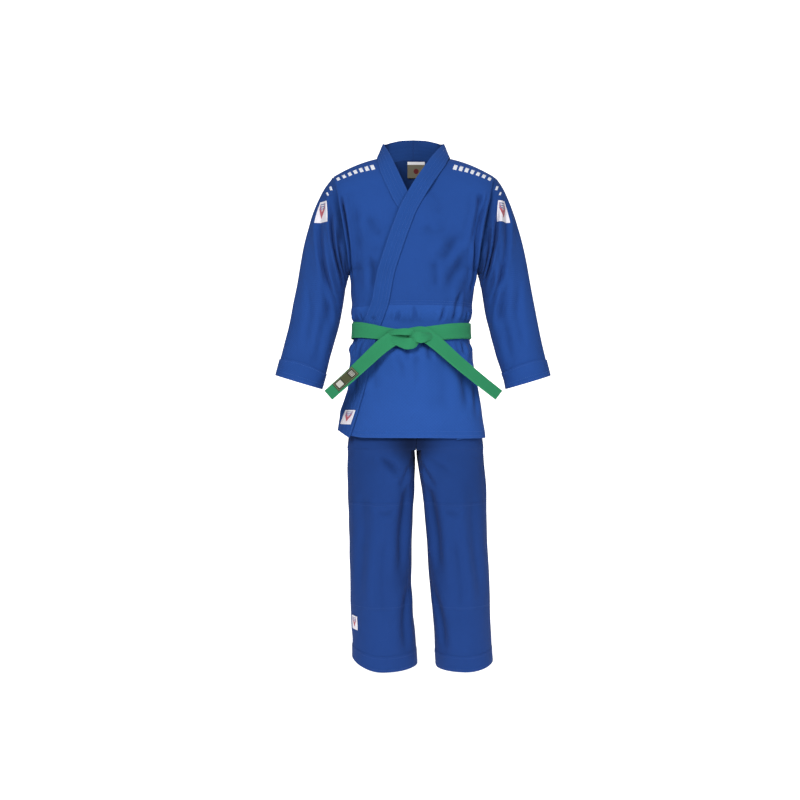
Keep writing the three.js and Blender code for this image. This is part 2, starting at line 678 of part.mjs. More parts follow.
const legBadgeHeight = 38;
const legBadgeLow = -trouserLength + 88;
add('leg_badge', sheet(3, 3, (u, v, w) =>
  legPoint(-1, degToRad(lerp(66, 44, u)), lerp(legBadgeLow, legBadgeLow + legBadgeHeight, v),
    patchGap + w * patchThick)), patchCloth);

export default uniform;
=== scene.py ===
import math

import bpy
import numpy as np
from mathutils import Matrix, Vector


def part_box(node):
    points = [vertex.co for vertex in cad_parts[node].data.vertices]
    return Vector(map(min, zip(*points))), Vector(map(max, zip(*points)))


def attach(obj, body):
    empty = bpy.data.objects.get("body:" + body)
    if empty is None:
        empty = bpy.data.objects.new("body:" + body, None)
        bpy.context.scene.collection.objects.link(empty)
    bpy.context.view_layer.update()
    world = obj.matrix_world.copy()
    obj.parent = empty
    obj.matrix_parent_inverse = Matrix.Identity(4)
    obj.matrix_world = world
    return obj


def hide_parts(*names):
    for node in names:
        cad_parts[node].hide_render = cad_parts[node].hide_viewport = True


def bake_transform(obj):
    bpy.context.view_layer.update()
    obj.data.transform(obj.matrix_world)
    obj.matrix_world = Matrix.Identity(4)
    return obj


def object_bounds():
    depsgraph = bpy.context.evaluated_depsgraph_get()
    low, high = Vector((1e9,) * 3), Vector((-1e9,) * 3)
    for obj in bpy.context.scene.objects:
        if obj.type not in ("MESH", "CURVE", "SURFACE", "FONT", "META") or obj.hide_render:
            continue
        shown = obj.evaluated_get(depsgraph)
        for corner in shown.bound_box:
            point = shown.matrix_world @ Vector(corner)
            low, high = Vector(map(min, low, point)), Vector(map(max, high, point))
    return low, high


# Looks of a judo uniform in its worn shape: a belted jacket over separate trousers. Metres, +Z up.
# The wearer faces -Y and the wearer's left is +X. The origin is the middle of the neck opening.

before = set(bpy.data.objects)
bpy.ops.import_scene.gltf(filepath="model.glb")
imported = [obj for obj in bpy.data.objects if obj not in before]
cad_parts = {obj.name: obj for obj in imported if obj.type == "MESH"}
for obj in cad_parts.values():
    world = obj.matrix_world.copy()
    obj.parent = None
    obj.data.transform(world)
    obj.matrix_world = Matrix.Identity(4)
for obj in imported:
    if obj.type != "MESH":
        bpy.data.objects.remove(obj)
cad_low, cad_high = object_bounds()

MM = 0.001
PI = math.pi


def low(node):
    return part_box(node)[0]


def high(node):
    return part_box(node)[1]


# ---- sizes: heights and widths from the frame where a node shows them ----

cloth = 2.0 * MM
band_thick = 3.0 * MM
webbing = 2.0 * MM
patch_thick = 1.2 * MM
bar_thick = 0.9 * MM
layer_gap = 0.9 * MM
patch_gap = 1.5 * MM
seam_gap = 0.5 * MM
seam_overlap = 0.04 * MM          # two halves meet past their shared line, so no light shows between them

jacket_length = -low("skirt_back_left").z
waist_seam = high("skirt_back_left").z
neck_half_width = 88 * MM
neck_half_depth = 72 * MM
neck_rise = 20 * MM
collar_rise = 66 * MM
shoulder_half_width = 203 * MM
shoulder_drop = 47 * MM
shoulder_round = 75 * MM
armpit_drop = 285 * MM
armhole_half_depth = 82 * MM
chest_half_width = 160 * MM
chest_half_depth = 105 * MM
waist_half_width = 148 * MM
waist_half_depth = 96 * MM
hem_half_width = 184 * MM
hem_half_depth = 111 * MM
v_apex_drop = 103 * MM
lapel_width = 42 * MM

cuff_half_width = 59 * MM
cuff_tilt = math.radians(16.8)
cuff_half_depth = 49 * MM
sleeve_half_depth = 62 * MM
sleeve_drop = 505 * MM
sleeve_stand = 90 * MM
cuff_band = 42 * MM

belt_low = low("belt_outer_turn").z
belt_width = high("belt_outer_turn").z - belt_low
belt_height = belt_low + belt_width / 2
knot_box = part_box("belt_knot")

trouser_ease = 7 * MM
crotch_drop = 737 * MM
trouser_length = -low("trouser_leg_left").z
trouser_top = high("waistband").z
waistband_width = trouser_top - low("waistband").z
leg_gap = 5 * MM
leg_hem_half_width = 78 * MM
leg_hem_half_depth = 84 * MM
hem_band = high("leg_hem_band_left").z + trouser_length
hem_centre = {1: 126 * MM, -1: 81 * MM}

pitch = cloth + layer_gap
under_lapel_layer = pitch
over_panel_layer = under_lapel_layer + band_thick + layer_gap
over_band_layer = over_panel_layer + pitch + 0.6 * MM
belt_layer = over_band_layer + band_thick + 2 * layer_gap

SIDES = ((1, "left"), (-1, "right"))


# ---- curves ----

def lerp(a, b, t):
    return a + (b - a) * t


def smoothstep(x, start, end):
    t = np.clip((x - start) / (end - start), 0, 1)
    return t * t * (3 - 2 * t)


def profile(*stations):
    """A smooth value between stations, each (height, value), lowest first, and straight beyond them."""
    heights = np.array([s[0] for s in stations])
    values = np.array([s[1] for s in stations])
    slopes = np.empty(len(heights))
    slopes[1:-1] = (values[2:] - values[:-2]) / (heights[2:] - heights[:-2])
    slopes[0] = (values[1] - values[0]) / (heights[1] - heights[0])
    slopes[-1] = (values[-1] - values[-2]) / (heights[-1] - heights[-2])

    def at(height):
        height = np.asarray(height, float)
        i = np.clip(np.searchsorted(heights, height) - 1, 0, len(heights) - 2)
        run = heights[i + 1] - heights[i]
        t = (height - heights[i]) / run
        s = np.clip(t, 0, 1)
        inside = (values[i] * (2 * s**3 - 3 * s**2 + 1) + slopes[i] * run * (s**3 - 2 * s**2 + s)
                  + values[i + 1] * (3 * s**2 - 2 * s**3) + slopes[i + 1] * run * (s**3 - s**2))
        below = np.minimum(t, 0) * run * slopes[i]
        above = np.maximum(t - 1, 0) * run * slopes[i + 1]
        return inside + below + above

    return at


def smooth_path(points):
    """A centripetal Catmull-Rom curve through the points, as a function of t from 0 to 1."""
    p = np.array(points, float)
    p = np.vstack([2 * p[0] - p[1], p, 2 * p[-1] - p[-2]])

    def gap(m, n):
        return np.maximum(np.sqrt(np.linalg.norm(n - m, axis=-1, keepdims=True)), 1e-5)

    def at(t):
        place = np.clip(np.asarray(t, float), 0, 1) * (len(p) - 3)
        i = np.minimum(place.astype(int), len(p) - 4)
        f = (place - i)[..., None]
        a, b, c, d = p[i], p[i + 1], p[i + 2], p[i + 3]
        before, here, after = gap(a, b), gap(b, c), gap(c, d)
        start = ((b - a) / before - (c - a) / (before + here) + (c - b) / here) * here
        end = ((c - b) / here - (d - b) / (here + after) + (d - c) / after) * here
        return ((2 * f**3 - 3 * f**2 + 1) * b + (f**3 - 2 * f**2 + f) * start
                + (3 * f**2 - 2 * f**3) * c + (f**3 - f**2) * end)

    return at


def unit(v):
    return v / np.maximum(np.linalg.norm(v, axis=-1, keepdims=True), 1e-12)


# ---- folds ----

def fold(points, width, depth, tail=0.3, shoulder=0.5):
    """A groove in the cloth along a line, as a function of two cloth coordinates: its half width, its depth,
    the share of its length over which each end fades, and the height of the ridge on each side of it."""
    line = smooth_path(points)(np.linspace(0, 1, 14))
    starts, runs = line[:-1], line[1:] - line[:-1]
    squares = np.maximum((runs**2).sum(1), 1e-12)
    corner_low, corner_high = line.min(0) - 4 * width, line.max(0) + 4 * width

    def at(a, b):
        out = np.zeros(np.shape(a))
        near = (a > corner_low[0]) & (a < corner_high[0]) & (b > corner_low[1]) & (b < corner_high[1])
        if not near.any():
            return out
        q = np.stack([a[near], b[near]], -1)[:, None, :] - starts
        t = np.clip((q * runs).sum(-1) / squares, 0, 1)
        distance = np.linalg.norm(q - t[..., None] * runs, axis=-1)
        best = distance.argmin(1)
        rows = np.arange(len(best))
        along = (best + t[rows, best]) / len(starts)
        d = distance[rows, best] / width
        fade = smoothstep(np.minimum(along, 1 - along), 0, tail)
        out[near] = -depth * fade * (np.exp(-(d**2)) - shoulder * np.exp(-(((d - 1.9) / 1.1) ** 2)))
        return out

    return at


def grooves(line, rows):
    """Folds along one kind of line. A row is a half width and a depth in millimetres, a tail, and points."""
    return [fold(line(*points), width * MM, depth * MM, tail) for width, depth, tail, *points in rows]


def waves(point, wavelength, seed):
    """Gentle unevenness in space, from -1 to 1: seven waves in random directions."""
    random = np.random.default_rng(seed)
    directions = unit(random.normal(size=(7, 3)))
    lengths = wavelength * random.uniform(0.7, 1.5, 7)
    phases = random.uniform(0, 2 * PI, 7)
    turns = point @ directions.T * (2 * PI / lengths) + phases
    return np.sin(turns).sum(-1) / 3.2


# ---- the body of the jacket ----

mid_skirt_drop = lerp(-belt_height, jacket_length, 0.45)
half_width = profile(
    (-jacket_length, hem_half_width),
    (-mid_skirt_drop, lerp(waist_half_width, hem_half_width, 0.54)),
    (belt_height, waist_half_width),
    (-armpit_drop, chest_half_width),
    (-shoulder_drop, shoulder_half_width),
)
half_depth = profile(
    (-jacket_length, hem_half_depth),
    (-mid_skirt_drop, lerp(waist_half_depth, hem_half_depth, 0.55)),
    (belt_height, waist_half_depth),
    (-armpit_drop, chest_half_depth),
    (-0.7 * armpit_drop, chest_half_depth),
    (-shoulder_drop, 0.84 * chest_half_depth),
    (neck_rise, neck_half_depth + 2 * MM),
)
# The belt pulls the jacket a little to the wearer's right.
sway = profile(
    (-jacket_length, -2 * MM), (-0.6, -3 * MM), (belt_height, -6 * MM), (-armpit_drop, 0), (0, 0)
)


def armhole_depth(z):
    rise = 0.42 * (armpit_drop - shoulder_drop)
    below = np.clip((rise - armpit_drop - z) / rise, 0, 1)
    return armhole_half_depth * np.sqrt(1 - below**2)


def ridge(x, side):
    """Height of the shoulder line: it falls towards the arm, and rises inside the back of the neck."""
    out = np.abs(x) - neck_half_width
    share = out / (shoulder_half_width - neck_half_width)
    inside_back = np.clip(1 - (x / neck_half_width) ** 2, 0, 1) ** 0.8
    inside = np.where(side < 0, -0.2 * out, (neck_rise + shoulder_round) * inside_back)
    return np.where(out >= 0, -shoulder_drop * (0.5 * share + 0.5 * share**2), inside)


def depth_squared(x, z, side):
    across = np.minimum(1, np.abs(x) / half_width(z)) ** 2.2
    armhole = armhole_depth(z) ** 2
    fall = np.clip((ridge(x, side) - z) / shoulder_round, 0, 1)
    return (armhole + (half_depth(z) ** 2 - armhole) * (1 - across)) * (1 - (1 - fall) ** 2)


def on_body(x, z, side, offset):
    """The point of the body's front (side -1) or back (side 1) at x and z, moved out along its normal."""
    x, z, side, offset = np.broadcast_arrays(x, z, side, offset)
    h = 0.4 * MM
    inward = np.where(x < 0, h, -h)
    here = depth_squared(x, z, side)
    slope_x = (depth_squared(x + inward, z, side) - here) / inward
    slope_z = (here - depth_squared(x, z - h, side)) / h
    y = side * np.sqrt(np.maximum(0, here))
    normal = unit(np.stack([-slope_x, 2 * y, -slope_z], -1))
    return np.stack([x, y, z], -1) + normal * offset[..., None]


def angle_of(x, z):
    return np.arcsin(np.clip(x / half_width(z), -1, 1))


girth = 0.15                     # radius that turns an angle round the body into a length of cloth


def chest_line(*points):
    """A line drawn on the front of the jacket, from x and z in millimetres to cloth coordinates."""
    return [(float(angle_of(x * MM, z * MM)) * girth, z * MM) for x, z in points]


def back_line(*points):
    """The same on the back, where x is still positive towards the wearer's left."""
    return [((PI - float(angle_of(x * MM, z * MM))) * girth, z * MM) for x, z in points]


def body_folds():
    """Every fold of the jacket's body: drag lines from the shoulders, and gathers at the belt."""
    made = grooves(chest_line, [
        (9, 13, 0.3, (-184, -96), (-172, -160), (-160, -240), (-152, -330)),
        (12, 3, 0.3, (-150, -110), (-141, -190), (-136, -270)),
        (10, 11, 0.3, (160, -96), (162, -130), (150, -190), (141, -255)),
        (9, 13, 0.3, (182, -100), (168, -150), (155, -215), (149, -300), (143, -350)),
        (16, 9, 0.45, (58, -300), (84, -250), (124, -190)),
        (17, 8, 0.45, (68, -352), (98, -300), (136, -236)),
        (11, 4.5, 0.3, (44, -268), (52, -300), (54, -345)),
        (8, 6, 0.3, (118, -340), (106, -375), (101, -420)),
        (12, 5, 0.3, (-112, -250), (-104, -300), (-106, -350)),
        (18, 4, 0.3, (20, -180), (46, -200), (90, -196)),
        (16, 4, 0.3, (-120, -150), (-100, -190), (-72, -214)),
        (10, 6, 0.3, (-122, -480), (-131, -540), (-142, -600)),
        (12, 2.4, 0.3, (-88, -490), (-92, -540), (-88, -600)),
        (10, 3.5, 0.3, (-34, -495), (-24, -530), (-22, -580)),
        (12, 2.8, 0.3, (10, -495), (4, -530), (8, -590)),
        (14, 7, 0.3, (112, -480), (124, -560), (134, -640)),
        (11, 6, 0.3, (134, -500), (148, -570), (156, -660)),
        (20, 3, 0.3, (60, -500), (70, -570), (66, -650)),
    ])
    made += grooves(back_line, [
        (20, 3, 0.3, (-120, -110), (-60, -170), (20, -190)),
        (20, 3, 0.3, (130, -120), (80, -190), (10, -225)),
        (16, 3, 0.3, (-150, -300), (-90, -330), (-30, -340)),
        (16, 3, 0.3, (150, -290), (90, -335), (40, -345)),
        (15, 4, 0.3, (-70, -480), (-80, -570), (-96, -680)),
        (15, 4, 0.3, (64, -480), (78, -570), (90, -680)),
        (18, 3, 0.3, (0, -480), (-6, -560), (0, -650)),
    ])
    random = np.random.default_rng(11)
    count = 34
    for i in range(count):
        arc = (i + random.uniform(0.2, 0.8)) / count * 2 * PI * girth - PI * girth
        reach = random.uniform(24, 62) * MM
        drift = random.uniform(-9, 9) * MM
        width = random.uniform(4.5, 8) * MM
        away = 1 if i % 2 else -1
        start = belt_height + 16 * MM * away
        end = reach * away
        ends = ((arc, start), (arc + drift * 0.6, start + end * 0.6), (arc + drift, start + end))
        made.append(fold(ends, width, random.uniform(3.5, 7) * MM, 0.4))
    return made


folds_of_body = body_folds()


def armhole_sink(z, side):
    """How deep the cloth sinks along the armhole seam."""
    up = smoothstep(z, -armpit_drop - 10 * MM, -armpit_drop + 60 * MM)
    return np.where(side < 0, 24, 12) * MM * up * (1 - smoothstep(z, -110 * MM, -62 * MM))


def belt_line(angle):
    """The belt's middle height round the body: it dips towards the knot."""
    x = np.where(np.cos(angle) > 0, np.abs(np.sin(angle)), 1.0) * waist_half_width
    return belt_height + 8 * MM * smoothstep(x, 40 * MM, 140 * MM)


def relief(angle, z):
    """How far the cloth of the body stands out of its smooth shape, at an angle round it and a height."""
    side = np.where(np.abs(angle) <= PI / 2, -1.0, 1.0)
    x = half_width(z) * np.sin(angle)
    arc = angle * girth
    base = np.stack([x, side * np.cos(angle) ** 2 * 0.1, z], -1)
    total = 2.6 * MM * waves(base, 0.16, 3) + 0.8 * MM * waves(base, 0.06, 4)
    for groove in folds_of_body:
        total = total + groove(arc, z)
    from_belt = z - belt_line(angle)
    pressed = smoothstep(np.abs(from_belt), belt_width * 0.5, belt_width * 0.95)
    blouse = 3.5 * MM * np.exp(-((np.abs(from_belt) - belt_width * 1.3) / (14 * MM)) ** 2)
    calm = 1 - smoothstep(z, -80 * MM, -30 * MM)
    squeeze = 5 * MM * np.sin(angle) ** 2 * np.exp(-((from_belt / (30 * MM)) ** 2))
    squeeze = squeeze + 6 * MM * np.sin(angle) ** 2 * smoothstep(-z, 0.46, 0.56)
    to_seam = (PI / 2 - np.abs(angle)) * girth
    near_seam = np.exp(-((to_seam / (17 * MM)) ** 2))
    return (total * calm + blouse) * pressed - squeeze - armhole_sink(z, side) * near_seam


def torso(angle, z, offset):
    """Points of the jacket's body: angle 0 is the middle of the front, and pi / 2 the wearer's left side."""
    angle, z, offset = np.broadcast_arrays(np.asarray(angle, float), np.asarray(z, float), offset)
    side = np.where(np.abs(angle) <= PI / 2, -1.0, 1.0)
    point = on_body(half_width(z) * np.sin(angle), z, side, offset + relief(angle, z))
    point[..., 0] += sway(z)
    return point


# ---- meshes ----

def rimmed(grid, half):
    """The grid with two more rows just inside each end, and how full the cloth is at each row."""
    steps = (0.25, 1.0)

    def inserted(edge, inner):
        gap = np.linalg.norm(inner[:, :3] - edge[:, :3], axis=1)
        return [edge + (inner - edge) * np.minimum(s * half / np.maximum(gap, 1e-9), 0.3 + 0.3 * s)[:, None]
                for s in steps]

    first = inserted(grid[0], grid[1])
    last = inserted(grid[-1], grid[-2])
    rows = [grid[0], *first, *grid[1:-1], *last[::-1], grid[-1]]
    ends = [0.0] + [math.sqrt(1 - (1 - s) ** 2) for s in steps]
    full = ends + [1.0] * (len(grid) - 2) + ends[::-1]
    return np.stack(rows), np.array(full)


def distance_to_ends(grid):
    steps = np.linalg.norm(np.diff(grid[..., :3], axis=0), axis=-1)
    along = np.concatenate([np.zeros((1, grid.shape[1])), np.cumsum(steps, 0)])
    return np.minimum(along, along[-1] - along)


def grid_normals(points, loop):
    if loop:
        wide = np.concatenate([points[:, -1:], points, points[:, :1]], 1)
        across = wide[:, 2:] - wide[:, :-2]
    else:
        across = np.gradient(points, axis=1)
    return unit(np.cross(across, np.gradient(points, axis=0)))


def centre_of(points, loop):
    """What a grid goes round: the middle of each row of a tube, or the body's upright line."""
    return points.mean(1, keepdims=True) if loop else points.mean((0, 1)) * np.array([0.0, 0.0, 1.0])


def valley_of(points, loop, reach=13 * MM):
    """How deep each point lies in a fold, from 0 to 1, for the painted shade in folds: how far inside the
    mean of points a reach away.
    """
    rows, cols = points.shape[:2]
    row_step = np.linalg.norm(np.diff(points, axis=0), axis=-1).mean()
    col_step = np.linalg.norm(np.diff(points, axis=1), axis=-1).mean()
    down = min(max(1, int(round(reach / row_step))), rows - 1)
    across = min(max(1, int(round(reach / col_step))), cols - 1)
    row, col = np.arange(rows), np.arange(cols)

    def near(by_row, by_col):
        other_col = (col + by_col) % cols if loop else np.clip(col + by_col, 0, cols - 1)
        return points[np.clip(row + by_row, 0, rows - 1)][:, other_col]

    mean = (near(down, 0) + near(-down, 0) + near(0, across) + near(0, -across)
            + near(down, across) + near(-down, -across) + near(down, -across) + near(-down, across)) / 8
    normal = grid_normals(points, loop)
    facing = np.sign((normal * (points - centre_of(points, loop))).sum(-1).mean())
    return np.tanh(((mean - points) * normal).sum(-1) * facing / reach)


def linked(name, data):
    made = bpy.data.objects.new(name, data)
    bpy.context.scene.collection.objects.link(made)
    return made


def closed_mesh(name, finish, points, quads, uvs, edge, valley):
    corners = points[quads]
    volume = (np.cross(corners[:, 0] - corners[:, 2], corners[:, 1] - corners[:, 3]) * corners.mean(1)).sum()
    if volume < 0:
        quads, uvs = quads[:, ::-1], uvs[:, ::-1]
    mesh = bpy.data.meshes.new(name)
    mesh.vertices.add(len(points))
    mesh.vertices.foreach_set("co", points.astype(np.float32).ravel())
    mesh.loops.add(quads.size)
    mesh.loops.foreach_set("vertex_index", quads.astype(np.int32).ravel())
    mesh.polygons.add(len(quads))
    mesh.polygons.foreach_set("loop_start", np.arange(0, quads.size, 4, dtype=np.int32))
    mesh.polygons.foreach_set("use_smooth", np.ones(len(quads), bool))
    mesh.update(calc_edges=True)
    mesh.uv_layers.new(name="cloth")
    mesh.uv_layers["cloth"].data.foreach_set("uv", uvs.astype(np.float32).ravel())
    # The valley attribute holds how much painted shade each point takes, and edge how near it lies to an
    # edge.
    for key, values in (("edge", edge), ("valley", valley)):
        mesh.attributes.new(key, "FLOAT", "POINT").data.foreach_set("value", values.astype(np.float32))
    mesh.materials.append(finish)
    return linked(name, mesh)


def slab_parts(mid, uv, thick, turn=None, pressed=None, shade=None, inside=0.0):
    """A closed sheet with rounded edges round a grid of its middle surface: points, faces, UV, how near
    each point is to an edge, and how much painted shade it takes from how deep it lies in a fold. turn is
    the length once round where the columns close on themselves, pressed a groove's depth, shade more painted
    shade, and inside the painted shade on the side towards the wearer."""
    loop = turn is not None
    extra = np.zeros(mid.shape[:2]) if pressed is None else pressed
    valley = valley_of(mid, loop)
    if shade is not None:
        valley = np.maximum(valley, 0) + shade
    grid = np.concatenate([mid, uv, extra[..., None], valley[..., None]], 2)
    half = thick / 2
    grid, full = rimmed(grid, half)
    fullness = np.repeat(full[:, None], grid.shape[1], 1)
    if not loop:
        turned, across = rimmed(grid.swapaxes(0, 1), half)
        grid = turned.swapaxes(0, 1)
        fullness = full[:, None] * across[None, :]
    distance = distance_to_ends(grid)
    if not loop:
        distance = np.minimum(distance, distance_to_ends(grid.swapaxes(0, 1)).T)
    edge = np.exp(-distance / (5 * MM))
    points = grid[..., :3]
    reach = (grid_normals(points, loop) * (fullness * (half - grid[..., 5]))[..., None])
    rows, cols = fullness.shape
    top = np.arange(rows * cols).reshape(rows, cols)
    inner = fullness > 0
    bottom = top.copy()
    bottom[inner] = rows * cols + np.arange(inner.sum())
    vertices = np.concatenate([(points + reach).reshape(-1, 3), (points - reach)[inner]])
    edges = np.concatenate([edge.ravel(), edge[inner]])
    first, second = grid[..., 6].ravel(), grid[..., 6][inner]
    # inside is painted shade on the side that faces the wearer.
    if (reach * (points - centre_of(points, loop))).sum() > 0:
        second = second + inside
    else:
        first = first + inside
    valleys = np.concatenate([first, second])
    j = np.arange(cols if loop else cols - 1)
    k = (j + 1) % cols
    wide = grid[..., 3:5]
    if loop:
        wide = np.concatenate([wide, wide[:, :1] + np.array([turn, 0])], 1)

    def faces(index):
        below, above = index[:-1], index[1:]
        return np.stack([below[:, j], below[:, k], above[:, k], above[:, j]], -1).reshape(-1, 4)

    corner_uv = np.stack([wide[:-1, j], wide[:-1, j + 1], wide[1:, j + 1], wide[1:, j]], 2).reshape(-1, 4, 2)
    quads = np.concatenate([faces(top), faces(bottom)[:, ::-1]])
    return vertices, quads, np.concatenate([corner_uv, corner_uv[:, ::-1]]), edges, valleys


def slab(name, mid, uv, thick, finish, turn=None, pressed=None, shade=None, inside=0.0):
    return closed_mesh(name, finish, *slab_parts(mid, uv, thick, turn, pressed, shade, inside))


def several_slabs(name, parts, finish):
    """One piece of several closed sheets."""
    starts = np.cumsum([0] + [len(part[0]) for part in parts])
    vertices, quads, uvs, edges, valleys = zip(*parts)
    quads = [faces + start for faces, start in zip(quads, starts)]
    return closed_mesh(name, finish, *(np.concatenate(x) for x in (vertices, quads, uvs, edges, valleys)))


def even(count):
    return np.linspace(0, 1, count + 1)


def uv_grid(rows, cols):
    """u runs across the columns and v up the rows."""
    return np.meshgrid(even(cols), even(rows))


def ring(cols, rows):
    """Angles once round across the columns, and v up the rows."""
    return np.meshgrid(np.linspace(-PI, PI, cols, endpoint=False), even(rows))


def declare(mid, loop=False):
    """Measures the flat size and the area of the grid that a sheet was made from, and keeps neither."""
    wide = np.concatenate([mid, mid[:, :1]], 1) if loop else mid
    widths = np.linalg.norm(np.diff(wide, axis=1), axis=-1).sum(1)
    lengths = np.linalg.norm(np.diff(wide, axis=0), axis=-1).sum(0)
    across = wide[:-1, 1:] - wide[1:, :-1]
    down = wide[1:, 1:] - wide[:-1, :-1]
    area = float(np.linalg.norm(np.cross(across, down), axis=-1).sum() / 2)
    flat = [max(float(sizes.max()), 10.5 * MM) for sizes in (widths, lengths)]
    area = min(max(area, 0.31 * flat[0] * flat[1]), flat[0] * flat[1])


def fit(piece, mid, node, body=None, loop=False):
    """Puts a sheet in its node's place. One with no body is left unattached."""
    if body:
        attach(piece, body)
    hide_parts(node)
    declare(mid, loop)
    return piece


# ---- finishes ----

grain_height, grain_length = 2.3 * MM, 3.6 * MM
diamond, diamond_thread = 7.5 * MM, 1.3 * MM
belt_rib, belt_row = 1.5 * MM, 4.2 * MM
satin_strand = 0.7 * MM


def colour(red, green, blue):
    """A display colour from 0 to 255 as linear light."""
    def linear(c):
        c = c / 255
        return ((c + 0.055) / 1.055) ** 2.4 if c > 0.04045 else c / 12.92
    return (linear(red), linear(green), linear(blue), 1.0)


class Value:
    """A socket whose arithmetic adds Math nodes."""

    def __init__(self, finish, socket):
        self.finish = finish
        self.socket = socket

    def math(self, operation, *others):
        return self.finish.node("ShaderNodeMath", {"operation": operation}, [self, *others])

    def __add__(self, other):
        return self.math("ADD", other)

    __radd__ = __add__

    def __sub__(self, other):
        return self.math("SUBTRACT", other)

    def __rsub__(self, other):
        return self.finish.node("ShaderNodeMath", {"operation": "SUBTRACT"}, [other, self])

    def __mul__(self, other):
        return self.math("MULTIPLY", other)

    __rmul__ = __mul__

    def __truediv__(self, other):
        return self.math("DIVIDE", other)

    def fraction(self):
        return self.math("FRACT")

    def floor(self):
        return self.math("FLOOR")

    def power(self, other):
        return self.math("POWER", other)

    def between(self, start, end):
        """1 where the value lies from start to end."""
        return self.math("GREATER_THAN", start) * self.math("LESS_THAN", end)

    def dome(self):
        """A rounded rise over each whole step of the value, from 0 at its ends to 1 in the middle."""
        part = self.fraction() * 2 - 1
        return 1 - part * part


class Finish:
    """One material: node() adds any node, and set() feeds the shader."""

    def __init__(self, name, roughness=0.9, sheen=0.02):
        self.material = bpy.data.materials.new(name)
        self.material.use_nodes = True
        self.tree = self.material.node_tree
        self.shader = next(n for n in self.tree.nodes if n.type == "BSDF_PRINCIPLED")
        self.shader.inputs["Roughness"].default_value = roughness
        self.shader.inputs["Sheen Weight"].default_value = sheen
        self.shader.inputs["Sheen Roughness"].default_value = 0.5
        self.shader.inputs["Specular IOR Level"].default_value = 0.12

    def node(self, kind, settings, inputs=(), output=0):
        made = self.tree.nodes.new(kind)
        for key, value in settings.items():
            setattr(made, key, value)
        pairs = inputs.items() if isinstance(inputs, dict) else enumerate(inputs)
        for key, value in pairs:
            if isinstance(value, Value):
                self.tree.links.new(value.socket, made.inputs[key])
            else:
                made.inputs[key].default_value = value
        return Value(self, made.outputs[output])

    def set(self, name, value):
        self.tree.links.new(value.socket, self.shader.inputs[name])

    def cloth_uv(self):
        where = self.node("ShaderNodeUVMap", {"uv_map": "cloth"})
        return [self.node("ShaderNodeSeparateXYZ", {}, [where], i) for i in (0, 1)]

    def attribute(self, name):
        return self.node("ShaderNodeAttribute", {"attribute_name": name}, (), "Fac")

    def noise(self, scale, detail=2.0):
        where = self.node("ShaderNodeTexCoord", {}, (), "Object")
        return self.node("ShaderNodeTexNoise", {}, {"Vector": where, "Scale": scale, "Detail": detail})

    def mix(self, amount, first, second):
        inputs = {0: amount, 6: first, 7: second}
        return self.node("ShaderNodeMix", {"data_type": "RGBA"}, inputs, 2)

    def done(self, base, roughness, height, distance):
        """Feeds the shader what changes over the surface, and gives the material."""
        self.set("Base Color", base)
        self.set("Roughness", roughness)
        inputs = {"Height": height, "Distance": distance}
        self.set("Normal", self.node("ShaderNodeBump", {}, inputs, "Normal"))
        return self.material


def cloth_finish(name, roughness=0.9, sheen=0.02):
    finish = Finish(name, roughness, sheen)
    return finish, *finish.cloth_uv()


def shade_of(base, factor):
    return tuple(c * factor for c in base[:3]) + (1.0,)


def woven(finish, base, weave, depth, contrast=0.3, wear=0.1):
    """Colours a cloth: darker between its threads, unevenly dyed, with painted shade in its folds and
    hollows, and paler along worn edges.
    """
    broad = finish.noise(9.0)
    fine = finish.noise(900.0, 1.0)
    tone = weave * contrast + broad * 0.35 + fine * 0.3 + (0.5 - contrast / 2 - 0.325)
    cloth_colour = finish.mix(tone, shade_of(base, 0.72), shade_of(base, 1.28))
    # Painted shade: the valley attribute darkens the colour towards a near-black blue in folds, along the
    # armholes, between the legs and on the side that faces the wearer.
    painted_shade = finish.attribute("valley") * 0.8
    cloth_colour = finish.mix(painted_shade, cloth_colour, shade_of(base, 0.13))
    worn = finish.attribute("edge") * wear * fine
    pale = tuple(min(1.0, c * 1.5 + 0.03) for c in base[:3]) + (1.0,)
    return finish.done(finish.mix(worn, cloth_colour, pale), 0.82 + fine * 0.14, weave + fine * 0.35, depth)


def rice_grain(name, base):
    """The jacket's double weave: staggered raised grains of doubled yarn."""
    finish, u, v = cloth_finish(name)
    row = v / grain_height
    stagger = (row.floor() * 0.5).fraction()
    grain = (u / grain_length + stagger).dome() * row.dome()
    return woven(finish, base, grain, 0.5 * MM)


def diamonds(name, base):
    """The skirt's lighter cloth, woven in small diamonds."""
    finish, u, v = cloth_finish(name)
    rising = (u + v) / diamond
    falling = (u - v) / diamond
    lattice = rising.dome().power(0.5) * falling.dome().power(0.5)
    thread = ((u + v) / diamond_thread).dome() * 0.3
    return woven(finish, base, lattice * 0.8 + thread, 0.35 * MM, 0.22)


def twill(name, base, rise=1.7 * MM, depth=0.22 * MM, contrast=0.24):
    """A cotton twill with fine diagonal ribs."""
    finish, u, v = cloth_finish(name)
    rib = ((u + v * 0.6) / rise).dome()
    return woven(finish, base, rib, depth, contrast)


def ribbed_webbing(name, base):
    """Belt webbing: fine cross ribs between lengthwise rows of stitching."""
    finish, u, v = cloth_finish(name, 0.85, 0.04)
    rib = (u / belt_rib).dome()
    row = (v / belt_row).dome().power(0.35)
    return woven(finish, base, rib * 0.35 + row * 0.65, 0.35 * MM, 0.3, 0.2)


def thread(name, base):
    """Sewing thread with a slight gloss and a twist."""
    finish = Finish(name, 0.55, 0.1)
    fine = finish.noise(2500.0, 1.0)
    tone = finish.mix(fine, shade_of(base, 0.8), shade_of(base, 1.2))
    return finish.done(tone, 0.45 + fine * 0.2, fine, 0.1 * MM)


